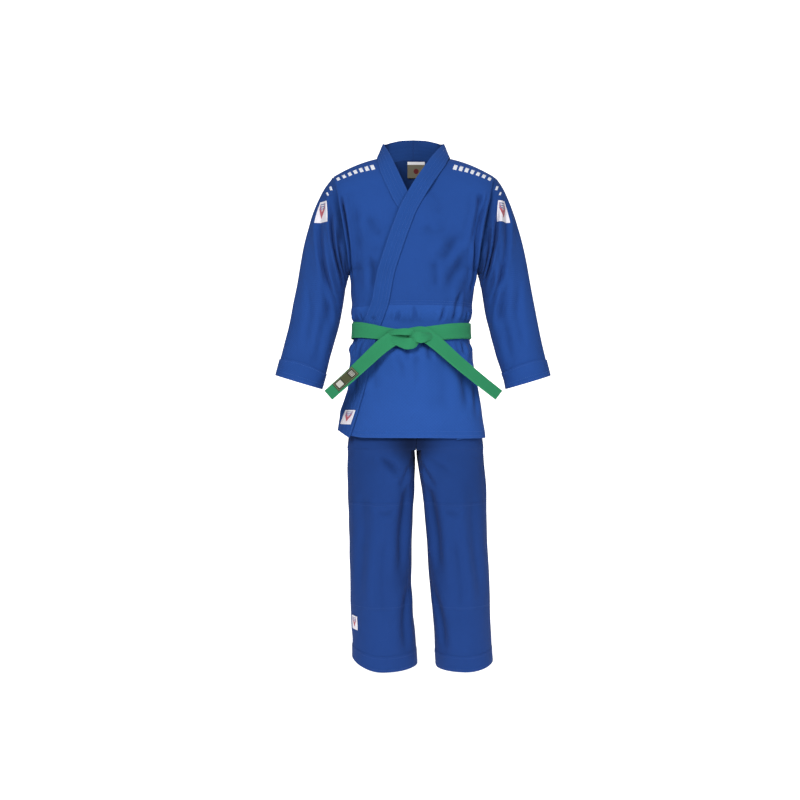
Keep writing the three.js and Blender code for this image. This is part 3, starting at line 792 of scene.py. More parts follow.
def satin_stitch(name, base):
    """Dense parallel embroidery thread."""
    finish, u, v = cloth_finish(name, 0.5, 0.15)
    strand = ((u + v * 0.3) / satin_strand).dome()
    fine = finish.noise(1500.0, 1.0)
    tone = finish.mix(strand * 0.7 + fine * 0.3, shade_of(base, 0.82), base)
    return finish.done(tone, 0.42 + fine * 0.2, strand, 0.25 * MM)


def woven_badge(name):
    """A woven badge with a plain pattern: its UV runs from 0 to 1 both ways. Pale ground, a muted red
    triangle and blue-grey bars, and a merrowed border."""
    finish, u, v = cloth_finish(name, 0.7, 0.1)
    fine = finish.noise(1300.0, 1.0)
    pale = finish.mix(fine, colour(196, 190, 200), colour(240, 238, 244))
    centre = (u - 0.5).math("ABSOLUTE")
    triangle = (v - centre * 1.5).between(0.18, 0.5) * centre.math("LESS_THAN", 0.3)
    bars = (v * 9).fraction().math("GREATER_THAN", 0.5) * v.between(0.62, 0.9)
    bars = bars * centre.math("LESS_THAN", 0.32)
    ground = finish.mix(triangle, pale, colour(176, 92, 104))
    ground = finish.mix(bars, ground, colour(112, 120, 160))
    rim = 1 - u.between(0.06, 0.94) * v.between(0.05, 0.95)
    ground = finish.mix(rim, ground, colour(226, 224, 232))
    return finish.done(ground, 0.6 + fine * 0.2, fine * 0.4 + rim * 0.6 + triangle * 0.3, 0.3 * MM)


def neck_label_cloth(name):
    """A label with a white strip along its top, an olive body and one dark red spot."""
    finish, u, v = cloth_finish(name, 0.7, 0.1)
    fine = finish.noise(1300.0, 1.0)
    body = finish.mix(fine, colour(92, 88, 74), colour(124, 118, 100))
    top = v.math("GREATER_THAN", 0.82)
    across, down = (u - 0.5) * 1.1, v - 0.42
    spot = (across * across + down * down).math("LESS_THAN", 0.026)
    shown = finish.mix(spot, body, colour(96, 34, 36))
    shown = finish.mix(top, shown, colour(232, 230, 232))
    return finish.done(shown, 0.62 + fine * 0.2, fine * 0.5 + top * 0.4, 0.25 * MM)


def belt_label_cloth(name):
    """The black and olive label near the belt's end: a pale frame, a light block and plain bars."""
    finish, u, v = cloth_finish(name, 0.62, 0.1)
    fine = finish.noise(1300.0, 1.0)
    black = finish.mix(fine, colour(20, 22, 20), colour(52, 54, 42))
    olive = u.between(0.32, 0.62) * v.between(0.14, 0.86)
    ground = finish.mix(olive, black, colour(74, 78, 52))
    block = u.between(0.66, 0.9) * v.between(0.2, 0.8)
    bars = u.between(0.1, 0.28) * v.between(0.2, 0.8) * (v * 7).fraction().math("GREATER_THAN", 0.5)
    ground = finish.mix(block + bars, ground, colour(190, 190, 180))
    frame_line = u.between(0.02, 0.98) * v.between(0.03, 0.97) - u.between(0.06, 0.94) * v.between(0.1, 0.9)
    ground = finish.mix(frame_line, ground, colour(104, 112, 84))
    return finish.done(ground, 0.55 + fine * 0.2, fine * 0.4 + block * 0.4, 0.25 * MM)


jacket_weave = rice_grain("jacket_weave", colour(34, 72, 143))
skirt_cloth = diamonds("skirt_cloth", colour(37, 77, 150))
lapel_cloth = twill("lapel_cloth", colour(32, 70, 138))
lining_cotton = twill("lining_cotton", colour(22, 50, 107), 1.2 * MM)
trouser_twill = twill("trouser_twill", colour(27, 58, 119))
belt_cotton = ribbed_webbing("belt_cotton", colour(44, 129, 87))
blue_thread = thread("blue_thread", colour(52, 92, 166))
twill_thread = thread("twill_thread", colour(36, 70, 136))
embroidery = satin_stitch("embroidery", colour(238, 241, 250))
badge_cloth = woven_badge("badge_cloth")
label_cloth = neck_label_cloth("label_cloth")
belt_label = belt_label_cloth("belt_label")


# ---- lapel lines ----

over_lapel_x = profile(
    (-jacket_length, -0.945 * hem_half_width),
    (-mid_skirt_drop, -0.77 * lerp(waist_half_width, hem_half_width, 0.54)),
    (belt_height, -0.68 * waist_half_width),
    (waist_seam, -0.535 * waist_half_width),
    (-armpit_drop, -0.39 * chest_half_width),
    (-v_apex_drop - 53 * MM, -0.12 * chest_half_width),
    (-v_apex_drop - 10 * MM, 3 * MM),
    (-0.7 * v_apex_drop, 0.32 * neck_half_width),
    (0, 0.86 * neck_half_width),
)
under_lapel_x = profile(
    (-jacket_length, 0.7 * hem_half_width),
    (belt_height, 0.53 * waist_half_width),
    (waist_seam, 0.42 * waist_half_width),
    (-armpit_drop, 0.24 * chest_half_width),
    (-v_apex_drop - 37 * MM, -0.11 * chest_half_width),
    (-v_apex_drop - 8 * MM, -0.39 * neck_half_width),
    (0, -0.95 * neck_half_width),
)
lapel_margin = 18 * MM
lapel_fall = 42 * MM


def slope_of(line, z):
    return (line(z + 0.5 * MM) - line(z - 0.5 * MM)) / MM


def over_offset(x, z):
    """How far the left front stands off the body: over the right one, and down to its own side seam."""
    edge = under_lapel_x(z) + np.hypot(1, slope_of(under_lapel_x, z)) * (lapel_width / 2 + lapel_margin)
    return over_panel_layer * (1 - smoothstep(x, edge, edge + lapel_fall))


def flush(x, z):
    return np.zeros(np.shape(x))


def over_band_offset(x, z):
    return lerp(layer_gap + pitch, over_band_layer, smoothstep(-z, 0.5 * v_apex_drop, 0.8 * v_apex_drop))


def under_band_offset(x, z):
    return np.full(np.shape(x), under_lapel_layer)


# ---- jacket panels ----

side_angle = PI / 2 - 0.003
armhole_valley = 16 * MM


def crowd(v):
    return 1 - (1 - v) ** 1.7


def torso_uv(angle, z):
    return np.stack([angle * girth, z], -1)


def front_panel(hand, lapel_x, stand_off, rows=110, cols=72):
    """A front of the chest: from the lapel to the side seam and armhole, and up to the shoulder line."""
    u, v = uv_grid(rows, cols)
    bottom = waist_seam - cloth / 2

    def inner(v):
        z = lerp(bottom, 0, crowd(v))
        return angle_of(hand * lapel_x(z), z), z

    def top(u):
        x = lerp(neck_half_width, shoulder_half_width, u)
        z = ridge(x, -1)
        return angle_of(x, z), z

    inner_angle, inner_z = inner(v)
    top_angle, top_z = top(u)
    corner_angle, corner_z = float(angle_of(neck_half_width, 0)), 0.0
    start_angle = float(inner(np.array(0.0))[0])
    inner_angle = lerp(inner_angle, corner_angle, v**6)
    angle = (lerp(inner_angle, side_angle, u) + lerp(lerp(start_angle, side_angle, u), top_angle, v)
             - lerp(lerp(start_angle, side_angle, u), lerp(corner_angle, float(top(1.0)[0]), u), v))
    z = (lerp(inner_z, lerp(bottom, -shoulder_drop, crowd(v)), u) + lerp(bottom, top_z, v)
         - lerp(bottom, lerp(corner_z, -shoulder_drop, u), v))
    z = np.minimum(z, ridge(half_width(z) * np.sin(angle), -1))
    x = hand * half_width(z) * np.sin(angle)
    mid = torso(hand * angle, z, stand_off(x, z) + cloth / 2)
    mid[..., 1] = np.minimum(mid[..., 1], 0)
    mid[-1, :, 1] = seam_overlap
    return mid, torso_uv(hand * angle, z)


def neck_edge(x):
    return neck_rise * (1 - (x / neck_half_width) ** 2)


def back_panel(hand, rows=110, cols=84):
    """One half of the back, from the centre seam to the side seam and armhole."""
    neck_share = 0.4
    u, v = uv_grid(rows, cols)
    bottom = waist_seam - cloth / 2
    inside = u < neck_share
    top_x = np.where(inside, neck_half_width * np.sin(PI / 2 * np.minimum(u / neck_share, 1)),
                     lerp(neck_half_width, shoulder_half_width, (u - neck_share) / (1 - neck_share)))
    top_z = np.where(inside, neck_edge(top_x), ridge(top_x, 1))
    z = lerp(bottom, top_z, crowd(v))
    angle = lerp(side_angle * u, angle_of(top_x, top_z), v**2)
    true_angle = hand * (PI - angle)
    mid = torso(true_angle, z, cloth / 2)
    mid[..., 0] = hand * np.maximum(hand * (mid[..., 0] - sway(z)), -seam_overlap) + sway(z)
    mid[:, 0, 0] = sway(z[:, 0]) - hand * seam_overlap
    mid[..., 1] = np.maximum(mid[..., 1], 0)
    shoulder = u[0] >= neck_share
    mid[-1, shoulder, 1] = -seam_overlap
    return mid, torso_uv(true_angle, z)


def hem_curve(angle):
    """How far the hem hangs below its level: longest at the wearer's left, shortest at the flap's corner."""
    front = (lerp(-2, 10, smoothstep(angle, -1.4, -0.7)) + 3 * smoothstep(angle, 0, 1.2)) * MM
    return lerp(front, 4 * MM, smoothstep(np.abs(angle), PI / 2, 2.6))


def skirt_panel(start, end, stand_off, cols, rows=100):
    """A panel of the skirt between two angles that may change with height."""
    u, v = uv_grid(rows, cols)
    z = lerp(-jacket_length, waist_seam + cloth / 2, v)
    angle = lerp(start(z), end(z), u)
    x = half_width(z) * np.sin(angle)
    mid = torso(angle, z, stand_off(x, z) + cloth / 2)
    mid[..., 2] -= hem_curve(angle) * (1 - v) ** 2
    return mid, torso_uv(angle, z)


def vent(z):
    return 0.004 + 0.014 * smoothstep(-z, jacket_length - 140 * MM, jacket_length)


def armhole_shade(uv):
    """Painted shade in the valley along the armhole."""
    to_seam, z = PI / 2 * girth - np.abs(uv[..., 0]), uv[..., 1]
    up = smoothstep(z, -armpit_drop - 40 * MM, -armpit_drop + 40 * MM)
    return np.exp(-((to_seam / armhole_valley) ** 2)) * up * (1 - smoothstep(z, -150 * MM, -80 * MM))


def jacket_piece(name, grid, finish, node, thick=cloth):
    mid, uv = grid
    # Pieces of jacket cloth take painted shade on their inner side, and all take painted shade along the
    # armhole.
    inside = 0.75 if thick == cloth else 0.0
    piece = slab(name, mid, uv, thick, finish, shade=armhole_shade(uv), inside=inside)
    return fit(piece, mid, node, "jacket")


def make_body():
    jacket_piece("front_left_cloth", front_panel(1, over_lapel_x, over_offset), jacket_weave,
                 "front_panel_left")
    jacket_piece("front_right_cloth", front_panel(-1, under_lapel_x, flush), jacket_weave,
                 "front_panel_right")
    for hand, name in SIDES:
        jacket_piece(f"back_{name}_cloth", back_panel(hand), jacket_weave,
                     f"back_panel_{name}")
    over = skirt_panel(lambda z: angle_of(over_lapel_x(z), z), lambda z: PI / 2 - vent(z), over_offset, 130)
    under = skirt_panel(lambda z: vent(z) - PI / 2, lambda z: angle_of(under_lapel_x(z), z), flush, 110)
    jacket_piece("skirt_front_left_cloth", over, skirt_cloth, "skirt_front_left")
    jacket_piece("skirt_front_right_cloth", under, skirt_cloth, "skirt_front_right")
    for hand, name in SIDES:
        back = skirt_panel(lambda z: hand * (PI / 2 + vent(z)),
                           lambda z: hand * (PI - seam_gap / 2 / half_width(z)), flush, 80)
        jacket_piece(f"skirt_back_{name}_cloth", back, skirt_cloth, f"skirt_back_{name}")


make_body()


# ---- lapels and collar ----

chest_top = -0.43 * v_apex_drop
collar_corner = 0.62 * collar_rise


def on_chest(hand, lapel_x, stand_off, z, v, lift):
    """A point across a lapel on the chest: from its sewn edge (v 0) to its free edge (v 1)."""
    slope = slope_of(lapel_x, z)
    long = np.hypot(1, slope)
    across = hand * lapel_width / 2 * (1 - 2 * v)
    x = lapel_x(z) + across / long
    level = z - slope * across / long
    limit = half_width(level) * math.sin(PI / 2 - 0.02)
    x = np.clip(x, -limit, limit)
    angle = angle_of(x, level)
    point = torso(angle, level, stand_off(x, level) + lift)
    low_end = smoothstep(-level, mid_skirt_drop, jacket_length)
    point[..., 2] -= hem_curve(angle) * low_end**2
    return point


def neck_curves(hand, lapel_x, stand_off):
    """The sewn and the free edge of the collar, from the chest round to the middle of the back."""
    sewn_start = on_chest(hand, lapel_x, stand_off, np.array(chest_top), np.array(0.0), 0.0)
    free_start = on_chest(hand, lapel_x, stand_off, np.array(chest_top), np.array(1.0), 0.0)
    first_offset = float(stand_off(sewn_start[0], sewn_start[2]))
    sewn, free = [], []
    neck_side, free_side = neck_half_width + 3 * MM, hand * 0.86 * neck_half_width
    for k in (0, 0.3, 0.6, 0.85):
        x = lerp(abs(sewn_start[0]), neck_side, k**0.7)
        z = lerp(sewn_start[2], float(ridge(neck_side, -1)), k)
        lift = lerp(first_offset, layer_gap + pitch, k)
        sewn.append(on_body(hand * x, z, -1, lift) if k else sewn_start)
        free.append((lerp(free_start[0], free_side, k), lerp(free_start[1], 0, k**1.5),
                     lerp(free_start[2], collar_corner, k)))
    sewn.append((hand * neck_side, 0, pitch - 5 * MM))
    free.append((free_side, 0, collar_corner))
    for share in (0.97, 0.9, 0.76, 0.45, 0):
        x = share * neck_half_width
        edge = on_body(hand * x, neck_edge(x), 1, (cloth - band_thick) / 2)
        edge[2] -= lerp(0.8, 5, share**2) * MM
        edge[0] = hand * (abs(edge[0]) if share else -seam_overlap)
        sewn.append(edge)
        high_z = lerp(collar_rise + 3 * MM, 0.72 * collar_rise, share**4)
        high_x = edge[0] * 0.87 if share else -hand * seam_overlap
        free.append((high_x, edge[1] * lerp(0.9, 1, share), high_z))
    return smooth_path(sewn), smooth_path(free)


def stitched(v, lines, width, depth):
    """The depth that rows of stitching press a band by, for rows at the given shares of its width."""
    return sum(depth * np.exp(-((v - line) * lapel_width / width) ** 2) for line in lines)


lapel_rows = (0.05, 0.24, 0.43, 0.62, 0.92)


def lapel(hand, lapel_x, stand_off, chest_rows=250, neck_rows=110, cols=30):
    """One half of the folded band: up the front edge from the hem, then round the neck."""
    sewn, free = neck_curves(hand, lapel_x, stand_off)
    v, z = np.meshgrid(even(cols), lerp(-jacket_length, chest_top, even(chest_rows)))
    chest = on_chest(hand, lapel_x, stand_off, z, v, band_thick / 2)
    v2, t = np.meshgrid(even(cols), even(neck_rows))
    below, above = sewn(t), free(t)
    tangent = sewn(np.minimum(t + 0.01, 1)) + free(np.minimum(t + 0.01, 1)) - sewn(t - 0.01) - free(t - 0.01)
    outward = hand * unit(np.cross(tangent, above - below))
    crown = 1.2 * MM * np.sin(PI * v2)
    neck = below + (above - below) * v2[..., None] + outward * (band_thick / 2 + crown)[..., None]
    neck[-1, :, 0] = -hand * seam_overlap
    mid = np.concatenate([chest, neck[1:]])
    joint = chest_rows
    for _ in range(14):
        near = slice(joint - 12, joint + 13)
        mid[near] = (mid[joint - 13:joint + 12] + 2 * mid[near] + mid[joint - 11:joint + 14]) / 4
    across = np.concatenate([v, v2[1:]])
    steps = np.linalg.norm(np.diff(mid, axis=0), axis=-1).mean(1)
    along = np.concatenate([[0], np.cumsum(steps)])
    uv = np.stack([across * lapel_width, np.repeat(along[:, None], cols + 1, 1)], -1)
    return mid, uv, stitched(across, lapel_rows, 1.1 * MM, 0.55 * MM)


lapel_grids = {}


def make_lapels():
    lines = ((over_lapel_x, over_band_offset), (under_lapel_x, under_band_offset))
    for (hand, name), (line, layer) in zip(SIDES, lines):
        mid, uv, pressed = lapel(hand, line, layer)
        # The lapel's side towards the wearer takes painted shade.
        piece = slab(f"lapel_{name}_cloth", mid, uv, band_thick, lapel_cloth, pressed=pressed, inside=0.5)
        fit(piece, mid, f"lapel_band_{name}", "jacket")
        lapel_grids[name] = mid


make_lapels()


# ---- trim of the jacket ----

def patch_uv(u, v):
    """Badges and labels carry their own pattern, from 0 to 1 both ways."""
    return np.stack([u, v], -1)


def shoulder_point(hand, x, angle, offset):
    side = np.where(angle < 0, -1.0, 1.0)
    z = ridge(x, side) - shoulder_round * (1 - np.cos(angle))
    return on_body(hand * x, z, side, offset)


def make_shoulder_trim():
    for hand, name in SIDES:
        u, v = uv_grid(40, 30)
        x = lerp(neck_half_width + 12 * MM, shoulder_half_width - 12 * MM, u)
        mid = shoulder_point(hand, x, lerp(-62, 62, v) * PI / 180, -2.9 * MM)
        jacket_piece(f"shoulder_lining_{name}_cloth", (mid, np.stack([x, v * 0.15], -1)), lining_cotton,
                     f"shoulder_lining_{name}", thick=1.4 * MM)
        bars = []
        count = 7
        for i in range(count):
            u, v = uv_grid(8, 5)
            along = i / (count - 1)
            start = lerp(98 * MM, 184 * MM, along)
            x = start + (u * lerp(9, 7, along) + (v - 0.5) * 5) * MM
            z = ridge(x, -1.0) - (lerp(34, 27, along) - (v - 0.5) * lerp(15, 11, along)) * MM
            angle = hand * angle_of(x, z)
            mid = torso(angle, z, cloth + 0.5 * MM)
            bars.append(slab_parts(mid, np.stack([u * 8 * MM, v * 14 * MM], -1), bar_thick))
        piece = several_slabs(f"shoulder_bars_{name}", bars, embroidery)
        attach(piece, "jacket")
        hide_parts(f"shoulder_mark_{name}")


def make_vent_stays():
    for hand, name in SIDES:
        u, v = uv_grid(16, 24)
        z = lerp(140 * MM - jacket_length, 162 * MM - jacket_length, v)
        angle = hand * (PI / 2 + 0.12 * (2 * u - 1))
        x = half_width(z) * np.sin(angle)
        under = np.where((hand > 0) & (u < 0.5), over_offset(x, z), 0.0)
        mid = torso(angle, z, under + cloth + patch_gap)
        jacket_piece(f"vent_stay_{name}_cloth", (mid, torso_uv(angle, z)), skirt_cloth,
                     f"vent_stay_{name}", patch_thick)


def make_labels():
    u, v = uv_grid(18, 20)
    x = lerp(-15, 31, u) * MM
    z = lerp(-28, 14, v) * MM
    mid = on_body(x, z, 1, -layer_gap - patch_thick / 2) - np.array([0, 4 * MM, 0]) * (1 - v)[..., None]
    jacket_piece("neck_label_cloth", (mid, patch_uv(u, v)), label_cloth, "neck_label",
                 patch_thick)
    u, v = uv_grid(16, 12)
    z = lerp(22, 58, v) * MM - jacket_length
    x = over_lapel_x(z) + lerp(-9, 16, u) * MM
    angle = angle_of(np.maximum(x, -0.985 * half_width(z)), z)
    mid = torso(angle, z, over_band_layer + band_thick + patch_gap * 0.4)
    jacket_piece("hem_badge_cloth", (mid, patch_uv(u, v)), badge_cloth, "hem_badge",
                 patch_thick)


make_shoulder_trim()
make_vent_stays()
make_labels()


# ---- belt ----

knot_x = (knot_box[0].x + knot_box[1].x) / 2
belt_stitch_rows = 9
label_columns = slice(78, 102)      # the part of the right tail's length that the label lies on


def belt_offset(angle):
    full = lerp(pitch + layer_gap, belt_layer, smoothstep(np.cos(angle), 0.05, 0.5))
    return full - 5 * MM * np.sin(angle) ** 2


def webbing_rows(v, depth):
    """The depth that the lengthwise rows of stitching press the belt by, with v from 0 to 1 across it."""
    return depth * np.cos(v * belt_stitch_rows * 2 * PI) ** 8


def belt_turn(stand, shift, rows=26, cols=260):
    angle, v = ring(cols, rows)
    x = half_width(belt_height) * np.sin(angle)
    front = np.cos(angle) > 0
    pull = np.exp(-(((x - knot_x) / (62 * MM)) ** 2)) * front
    width = belt_width * (1 - 0.3 * pull)
    upward = 8 * MM * np.exp(-(((angle + PI / 2) / 0.8) ** 2)) * (stand == 0)
    z = belt_line(angle) + shift + upward + (v - 0.5) * width - 6 * MM * pull
    side = np.where(front, -1.0, 1.0)
    level = belt_height + (v - 0.5) * belt_width
    wobble = 0.7 * MM * np.sin(5 * angle + shift * 900)
    reach = belt_offset(angle) + stand + webbing / 2 + wobble * 0.5
    point = on_body(half_width(level) * np.sin(angle), level, side, reach)
    mid = np.stack([point[..., 0] + sway(belt_height), point[..., 1], z + wobble * front * 0.6], -1)
    uv = np.stack([angle * girth, v * belt_width], -1)
    return mid, uv, webbing_rows(v, 0.22 * MM)


def make_belt_turns():
    for name, stand, shift in (("inner", 0.0, -2 * MM), ("outer", webbing + layer_gap, 0.0)):
        mid, uv, pressed = belt_turn(stand, shift)
        piece = slab(f"belt_{name}_webbing", mid, uv, webbing, belt_cotton, 2 * PI * girth, pressed)
        fit(piece, mid, f"belt_{name}_turn",
            "jacket", True)


def strap(points, widths, tilts, cols, rows=22, curl=0.0):
    """A strap along a path: its width and its tilt about the path at each point, and a curl across it.
    Tilt 0 faces the front."""
    path = smooth_path(points)
    t = even(cols)
    centre = path(t)
    ahead = unit(np.gradient(centre, axis=0))
    facing = np.array([0.0, -1.0, 0.0])
    flat = unit(np.cross(ahead, facing))
    outward = unit(np.cross(flat, ahead))
    stations = np.linspace(0, 1, len(widths))
    width = np.interp(t, stations, widths)
    tilt = np.radians(np.interp(t, np.linspace(0, 1, len(tilts)), tilts))
    across = flat * np.cos(tilt)[:, None] + outward * np.sin(tilt)[:, None]
    normal = unit(np.cross(ahead, across))
    v = even(rows) - 0.5
    bow = curl * (1 - 4 * v**2)
    mid = (centre[None] + across[None] * (v[:, None] * width[None])[..., None]
           - normal[None] * bow[:, None, None])
    along = np.concatenate([[0], np.cumsum(np.linalg.norm(np.diff(centre, axis=0), axis=1))])
    uv = np.stack(np.broadcast_arrays(along[None], (v[:, None] + 0.5) * belt_width), -1)
    pressed = np.repeat(webbing_rows(v + 0.5, 0.2 * MM)[:, None], cols + 1, 1)
    return mid, uv, pressed


def at_mm(*points):
    return [(x * MM, y * MM, z * MM) for x, y, z in points]


knot_straps = (
    # points, widths, tilts, rows and curl, in millimetres and degrees
    (((-64, -114, -453), (-46, -128, -450), (-25, -134, -449), (-8, -131, -450), (3, -122, -454)),
     (13, 14, 17, 17, 12), (10, 6, 0, -6, -10), 16, 2),
    (((-12, -122, -455), (2, -134, -460), (16, -136, -463), (29, -130, -461), (42, -118, -458)),
     (18, 25, 27, 22, 16), (-10, -6, 0, 6, 10), 18, 3),
    (((-62, -117, -468), (-40, -127, -473), (-18, -135, -478), (-3, -134, -476), (8, -124, -468)),
     (14, 20, 28, 26, 14), (12, 6, 0, -8, -14), 18, 3),
)


def make_knot():
    """The flat knot: a short band over the top, a lobe to its right and one that hangs below."""
    parts = []
    for points, widths, tilts, rows, curl in knot_straps:
        mid, uv, pressed = strap(at_mm(*points), np.array(widths) * MM, tilts, 46, rows, curl * MM)
        parts.append(slab_parts(mid, uv, 2.6 * MM, pressed=pressed))
    piece = several_slabs("belt_knot_webbing", parts, belt_cotton)
    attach(piece, "jacket")
    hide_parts("belt_knot")


tail_routes = {
    "left": at_mm((-14, -119, -452), (20, -121, -453), (52, -122, -474),
                  (101, -123, -517), (152, -127, -560), (206, -130, -603)),
    "right": at_mm((-12, -119, -456), (-40, -121, -459), (-74, -122, -480),
                   (-118, -123, -520), (-163, -127, -562), (-209, -130, -603)),
}
tail_tilts = {"left": [6, 14, 24, 32, 38, 41], "right": [-4, -8, -16, -28, -36, -38]}


def make_tails():
    for _, name in SIDES:
        mid, uv, pressed = strap(tail_routes[name], [26 * MM] + [38 * MM] * 5, tail_tilts[name], 110)
        piece = slab(f"belt_tail_{name}_webbing", mid, uv, 3.2 * MM, belt_cotton, pressed=pressed)
        fit(piece, mid, f"belt_tail_{name}")
        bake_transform(piece)
        if name == "right":
            inner = mid[2:-2, label_columns]
            lifted = inner + grid_normals(inner, False) * label_side(inner) * 2.6 * MM
            v, u = np.meshgrid(even(inner.shape[1] - 1), even(inner.shape[0] - 1))
            label = slab("belt_label_cloth", lifted, patch_uv(v, u), patch_thick, belt_label)
            fit(label, lifted, "belt_label",
                "belt_tail_right")


def label_side(grid):
    """1 where the grid's normals face the front, and -1 where they face back."""
    return -np.sign(grid_normals(grid, False)[..., 1].mean())


make_belt_turns()
make_knot()
make_tails()


# ---- sleeves ----

swing_gap = 1.5 * MM
cuff_run = 2 * cuff_half_width * math.cos(cuff_tilt)
sleeve_reach = waist_half_width + sleeve_stand + cuff_run - shoulder_half_width
cuff_inner = (sleeve_reach - cuff_run, sleeve_drop + 2 * cuff_half_width * math.sin(cuff_tilt))


def sleeve_edge(points):
    return smooth_path([(shoulder_half_width + x, -shoulder_drop - z) for x, z in points])


top_of_arm = sleeve_edge([
    (cloth + swing_gap, 0),
    (0.18 * sleeve_reach, 0.06 * sleeve_drop), (0.33 * sleeve_reach, 0.15 * sleeve_drop),
    (0.47 * sleeve_reach, 0.28 * sleeve_drop), (0.66 * sleeve_reach, 0.57 * sleeve_drop),
    (sleeve_reach, sleeve_drop),
])
armpit_in = chest_half_width - shoulder_half_width + cloth + swing_gap
armpit_down = armpit_drop - shoulder_drop
under_arm = sleeve_edge([
    (armpit_in, armpit_down), (armpit_in + 4 * MM, armpit_down + 12 * MM),
    (armpit_in + 9 * MM, armpit_down + 34 * MM),
    (lerp(armpit_in, cuff_inner[0], 0.28), lerp(armpit_down, cuff_inner[1], 0.38)),
    (lerp(armpit_in, cuff_inner[0], 0.62), lerp(armpit_down, cuff_inner[1], 0.68)), cuff_inner,
])
sleeve_girth = 62 * MM
sleeve_run = 560 * MM


def sleeve_line(*points):
    """A line on a sleeve: the share of the way to the cuff, and degrees from the top of the arm."""
    return [(t * sleeve_run, math.radians(a) * sleeve_girth) for t, a in points]


def sleeve_folds(hand):
    """Folds that fall from the shoulder to the armpit, and small ones round the elbow and cuff."""
    shift = 0.0 if hand > 0 else 0.03
    made = grooves(sleeve_line, [
        (11, 12, 0.3, (0.10, -62), (0.26, -88), (0.40, -122), (0.46, -165)),
        (13, 10, 0.3, (0.24 + shift, -48), (0.44 + shift, -64), (0.58, -100), (0.60, -150)),
        (10, 10, 0.3, (0.06, -98), (0.22, -112), (0.36, -142)),
        (14, 6, 0.3, (0.52, -70), (0.66 - shift, -104), (0.74, -140)),
        (12, 3.5, 0.3, (0.70, -60), (0.80, -84), (0.92, -92)),
        (12, 4, 0.3, (0.62, -128), (0.76, -120), (0.94, -122)),
        (13, 5, 0.3, (0.12, 70), (0.30, 96), (0.44, 140)),
        (14, 4, 0.3, (0.34, 50), (0.52, 84), (0.62, 130)),
        (14, 2.4, 0.3, (0.60, 60), (0.72, 96), (0.80, 130)),
    ])
    if hand > 0:
        made += grooves(sleeve_line, [(9, 6, 0.3, (0.30, -100), (0.48, -96), (0.70, -108))])
    return made


folds_of_sleeve = {hand: sleeve_folds(hand) for hand, _ in SIDES}


def sleeve(hand, t, angle, offset):
    """A point of the sleeve: t runs from the armhole to the cuff, and angle 0 is the top of the arm."""
    t, angle, offset = np.broadcast_arrays(t, angle, offset)
    top, under = top_of_arm(t), under_arm(t)
    middle = (top + under) / 2
    up = top - under
    half = np.linalg.norm(up, axis=-1) / 2
    up = unit(up)
    wrapped = (angle + PI) % (2 * PI) - PI
    total = np.zeros(t.shape)
    for groove in folds_of_sleeve[hand]:
        total = total + groove(t * sleeve_run, wrapped * sleeve_girth)
    base = np.stack([middle[..., 0] + half * np.cos(angle), 0.06 * np.sin(angle), middle[..., 1]], -1)
    total = total + 2.6 * MM * waves(base, 0.15, 20 + hand) + 0.8 * MM * waves(base, 0.06, 30 + hand)
    bulge = 7 * MM * np.exp(-(((t - 0.16) / 0.12) ** 2)) * np.abs(np.sin(angle))
    out = offset + total * smoothstep(t, 0.0, 0.06) + bulge
    depth = lerp(sleeve_half_depth, cuff_half_depth, smoothstep(t, 0.4, 1)) + out
    along = (half + out) * np.cos(angle)
    x = hand * (middle[..., 0] + up[..., 0] * along)
    z = middle[..., 1] + up[..., 1] * along
    point = np.stack([x, depth * np.sin(angle), z], -1)
    seam_z = lerp(under_arm(0.0)[1], top_of_arm(0.0)[1], (1 + np.cos(angle)) / 2)
    seam_angle = np.where(np.sin(angle) < 0, side_angle, PI - side_angle)
    tuck = smoothstep(np.abs(np.sin(angle)), 0.2, 0.6)
    seam = torso(hand * seam_angle, seam_z, lerp(0.8 * MM, -cloth, tuck))
    seam[..., 0] += hand * lerp(1.6, -2, tuck) * MM
    hold = 1 - smoothstep(t, 0, 0.2)
    return point + (seam - sleeve_start(hand, angle)) * hold[..., None]


def sleeve_start(hand, angle):
    """Where the plain tube of the sleeve would begin, without its seam."""
    top, under = top_of_arm(0.0), under_arm(0.0)
    middle, up = (top + under) / 2, top - under
    x = hand * (middle[0] + up[0] / 2 * np.cos(angle))
    z = middle[1] + up[1] / 2 * np.cos(angle)
    return np.stack([x, sleeve_half_depth * np.sin(angle), z], -1)


def on_sleeve(hand, x, z, offset):
    """The point of a sleeve's front face at x and z, found by Newton's method."""
    t = np.full(np.shape(x), 0.3)
    angle = np.full(np.shape(x), -1.3)
    for _ in range(9):
        here = sleeve(hand, t, angle, 0.0)
        by_t = (sleeve(hand, t + 0.004, angle, 0.0) - here) / 0.004
        by_angle = (sleeve(hand, t, angle + 0.01, 0.0) - here) / 0.01
        area = by_t[..., 0] * by_angle[..., 2] - by_t[..., 2] * by_angle[..., 0]
        off_x, off_z = x - here[..., 0], z - here[..., 2]
        t = t + np.clip((off_x * by_angle[..., 2] - off_z * by_angle[..., 0]) / area, -0.08, 0.08)
        angle = angle + np.clip((by_t[..., 0] * off_z - by_t[..., 2] * off_x) / area, -0.3, 0.3)
        t, angle = np.clip(t, 0.02, 0.95), np.clip(angle, -2.8, -0.25)
    return sleeve(hand, t, angle, offset)


def above_cuff(angle, distance):
    """The share of the sleeve's run that lies a distance above the cuff's edge."""
    return 1 - distance * lerp(1 / 0.5, 1 / 1.115, (1 + np.cos(angle)) / 2)


def bend_sleeve(piece):
    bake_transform(piece)


def sleeve_grid(hand, t, angle, offset):
    mid = sleeve(hand, t, angle, offset)
    return mid, np.stack([angle * sleeve_girth, t * sleeve_run], -1)


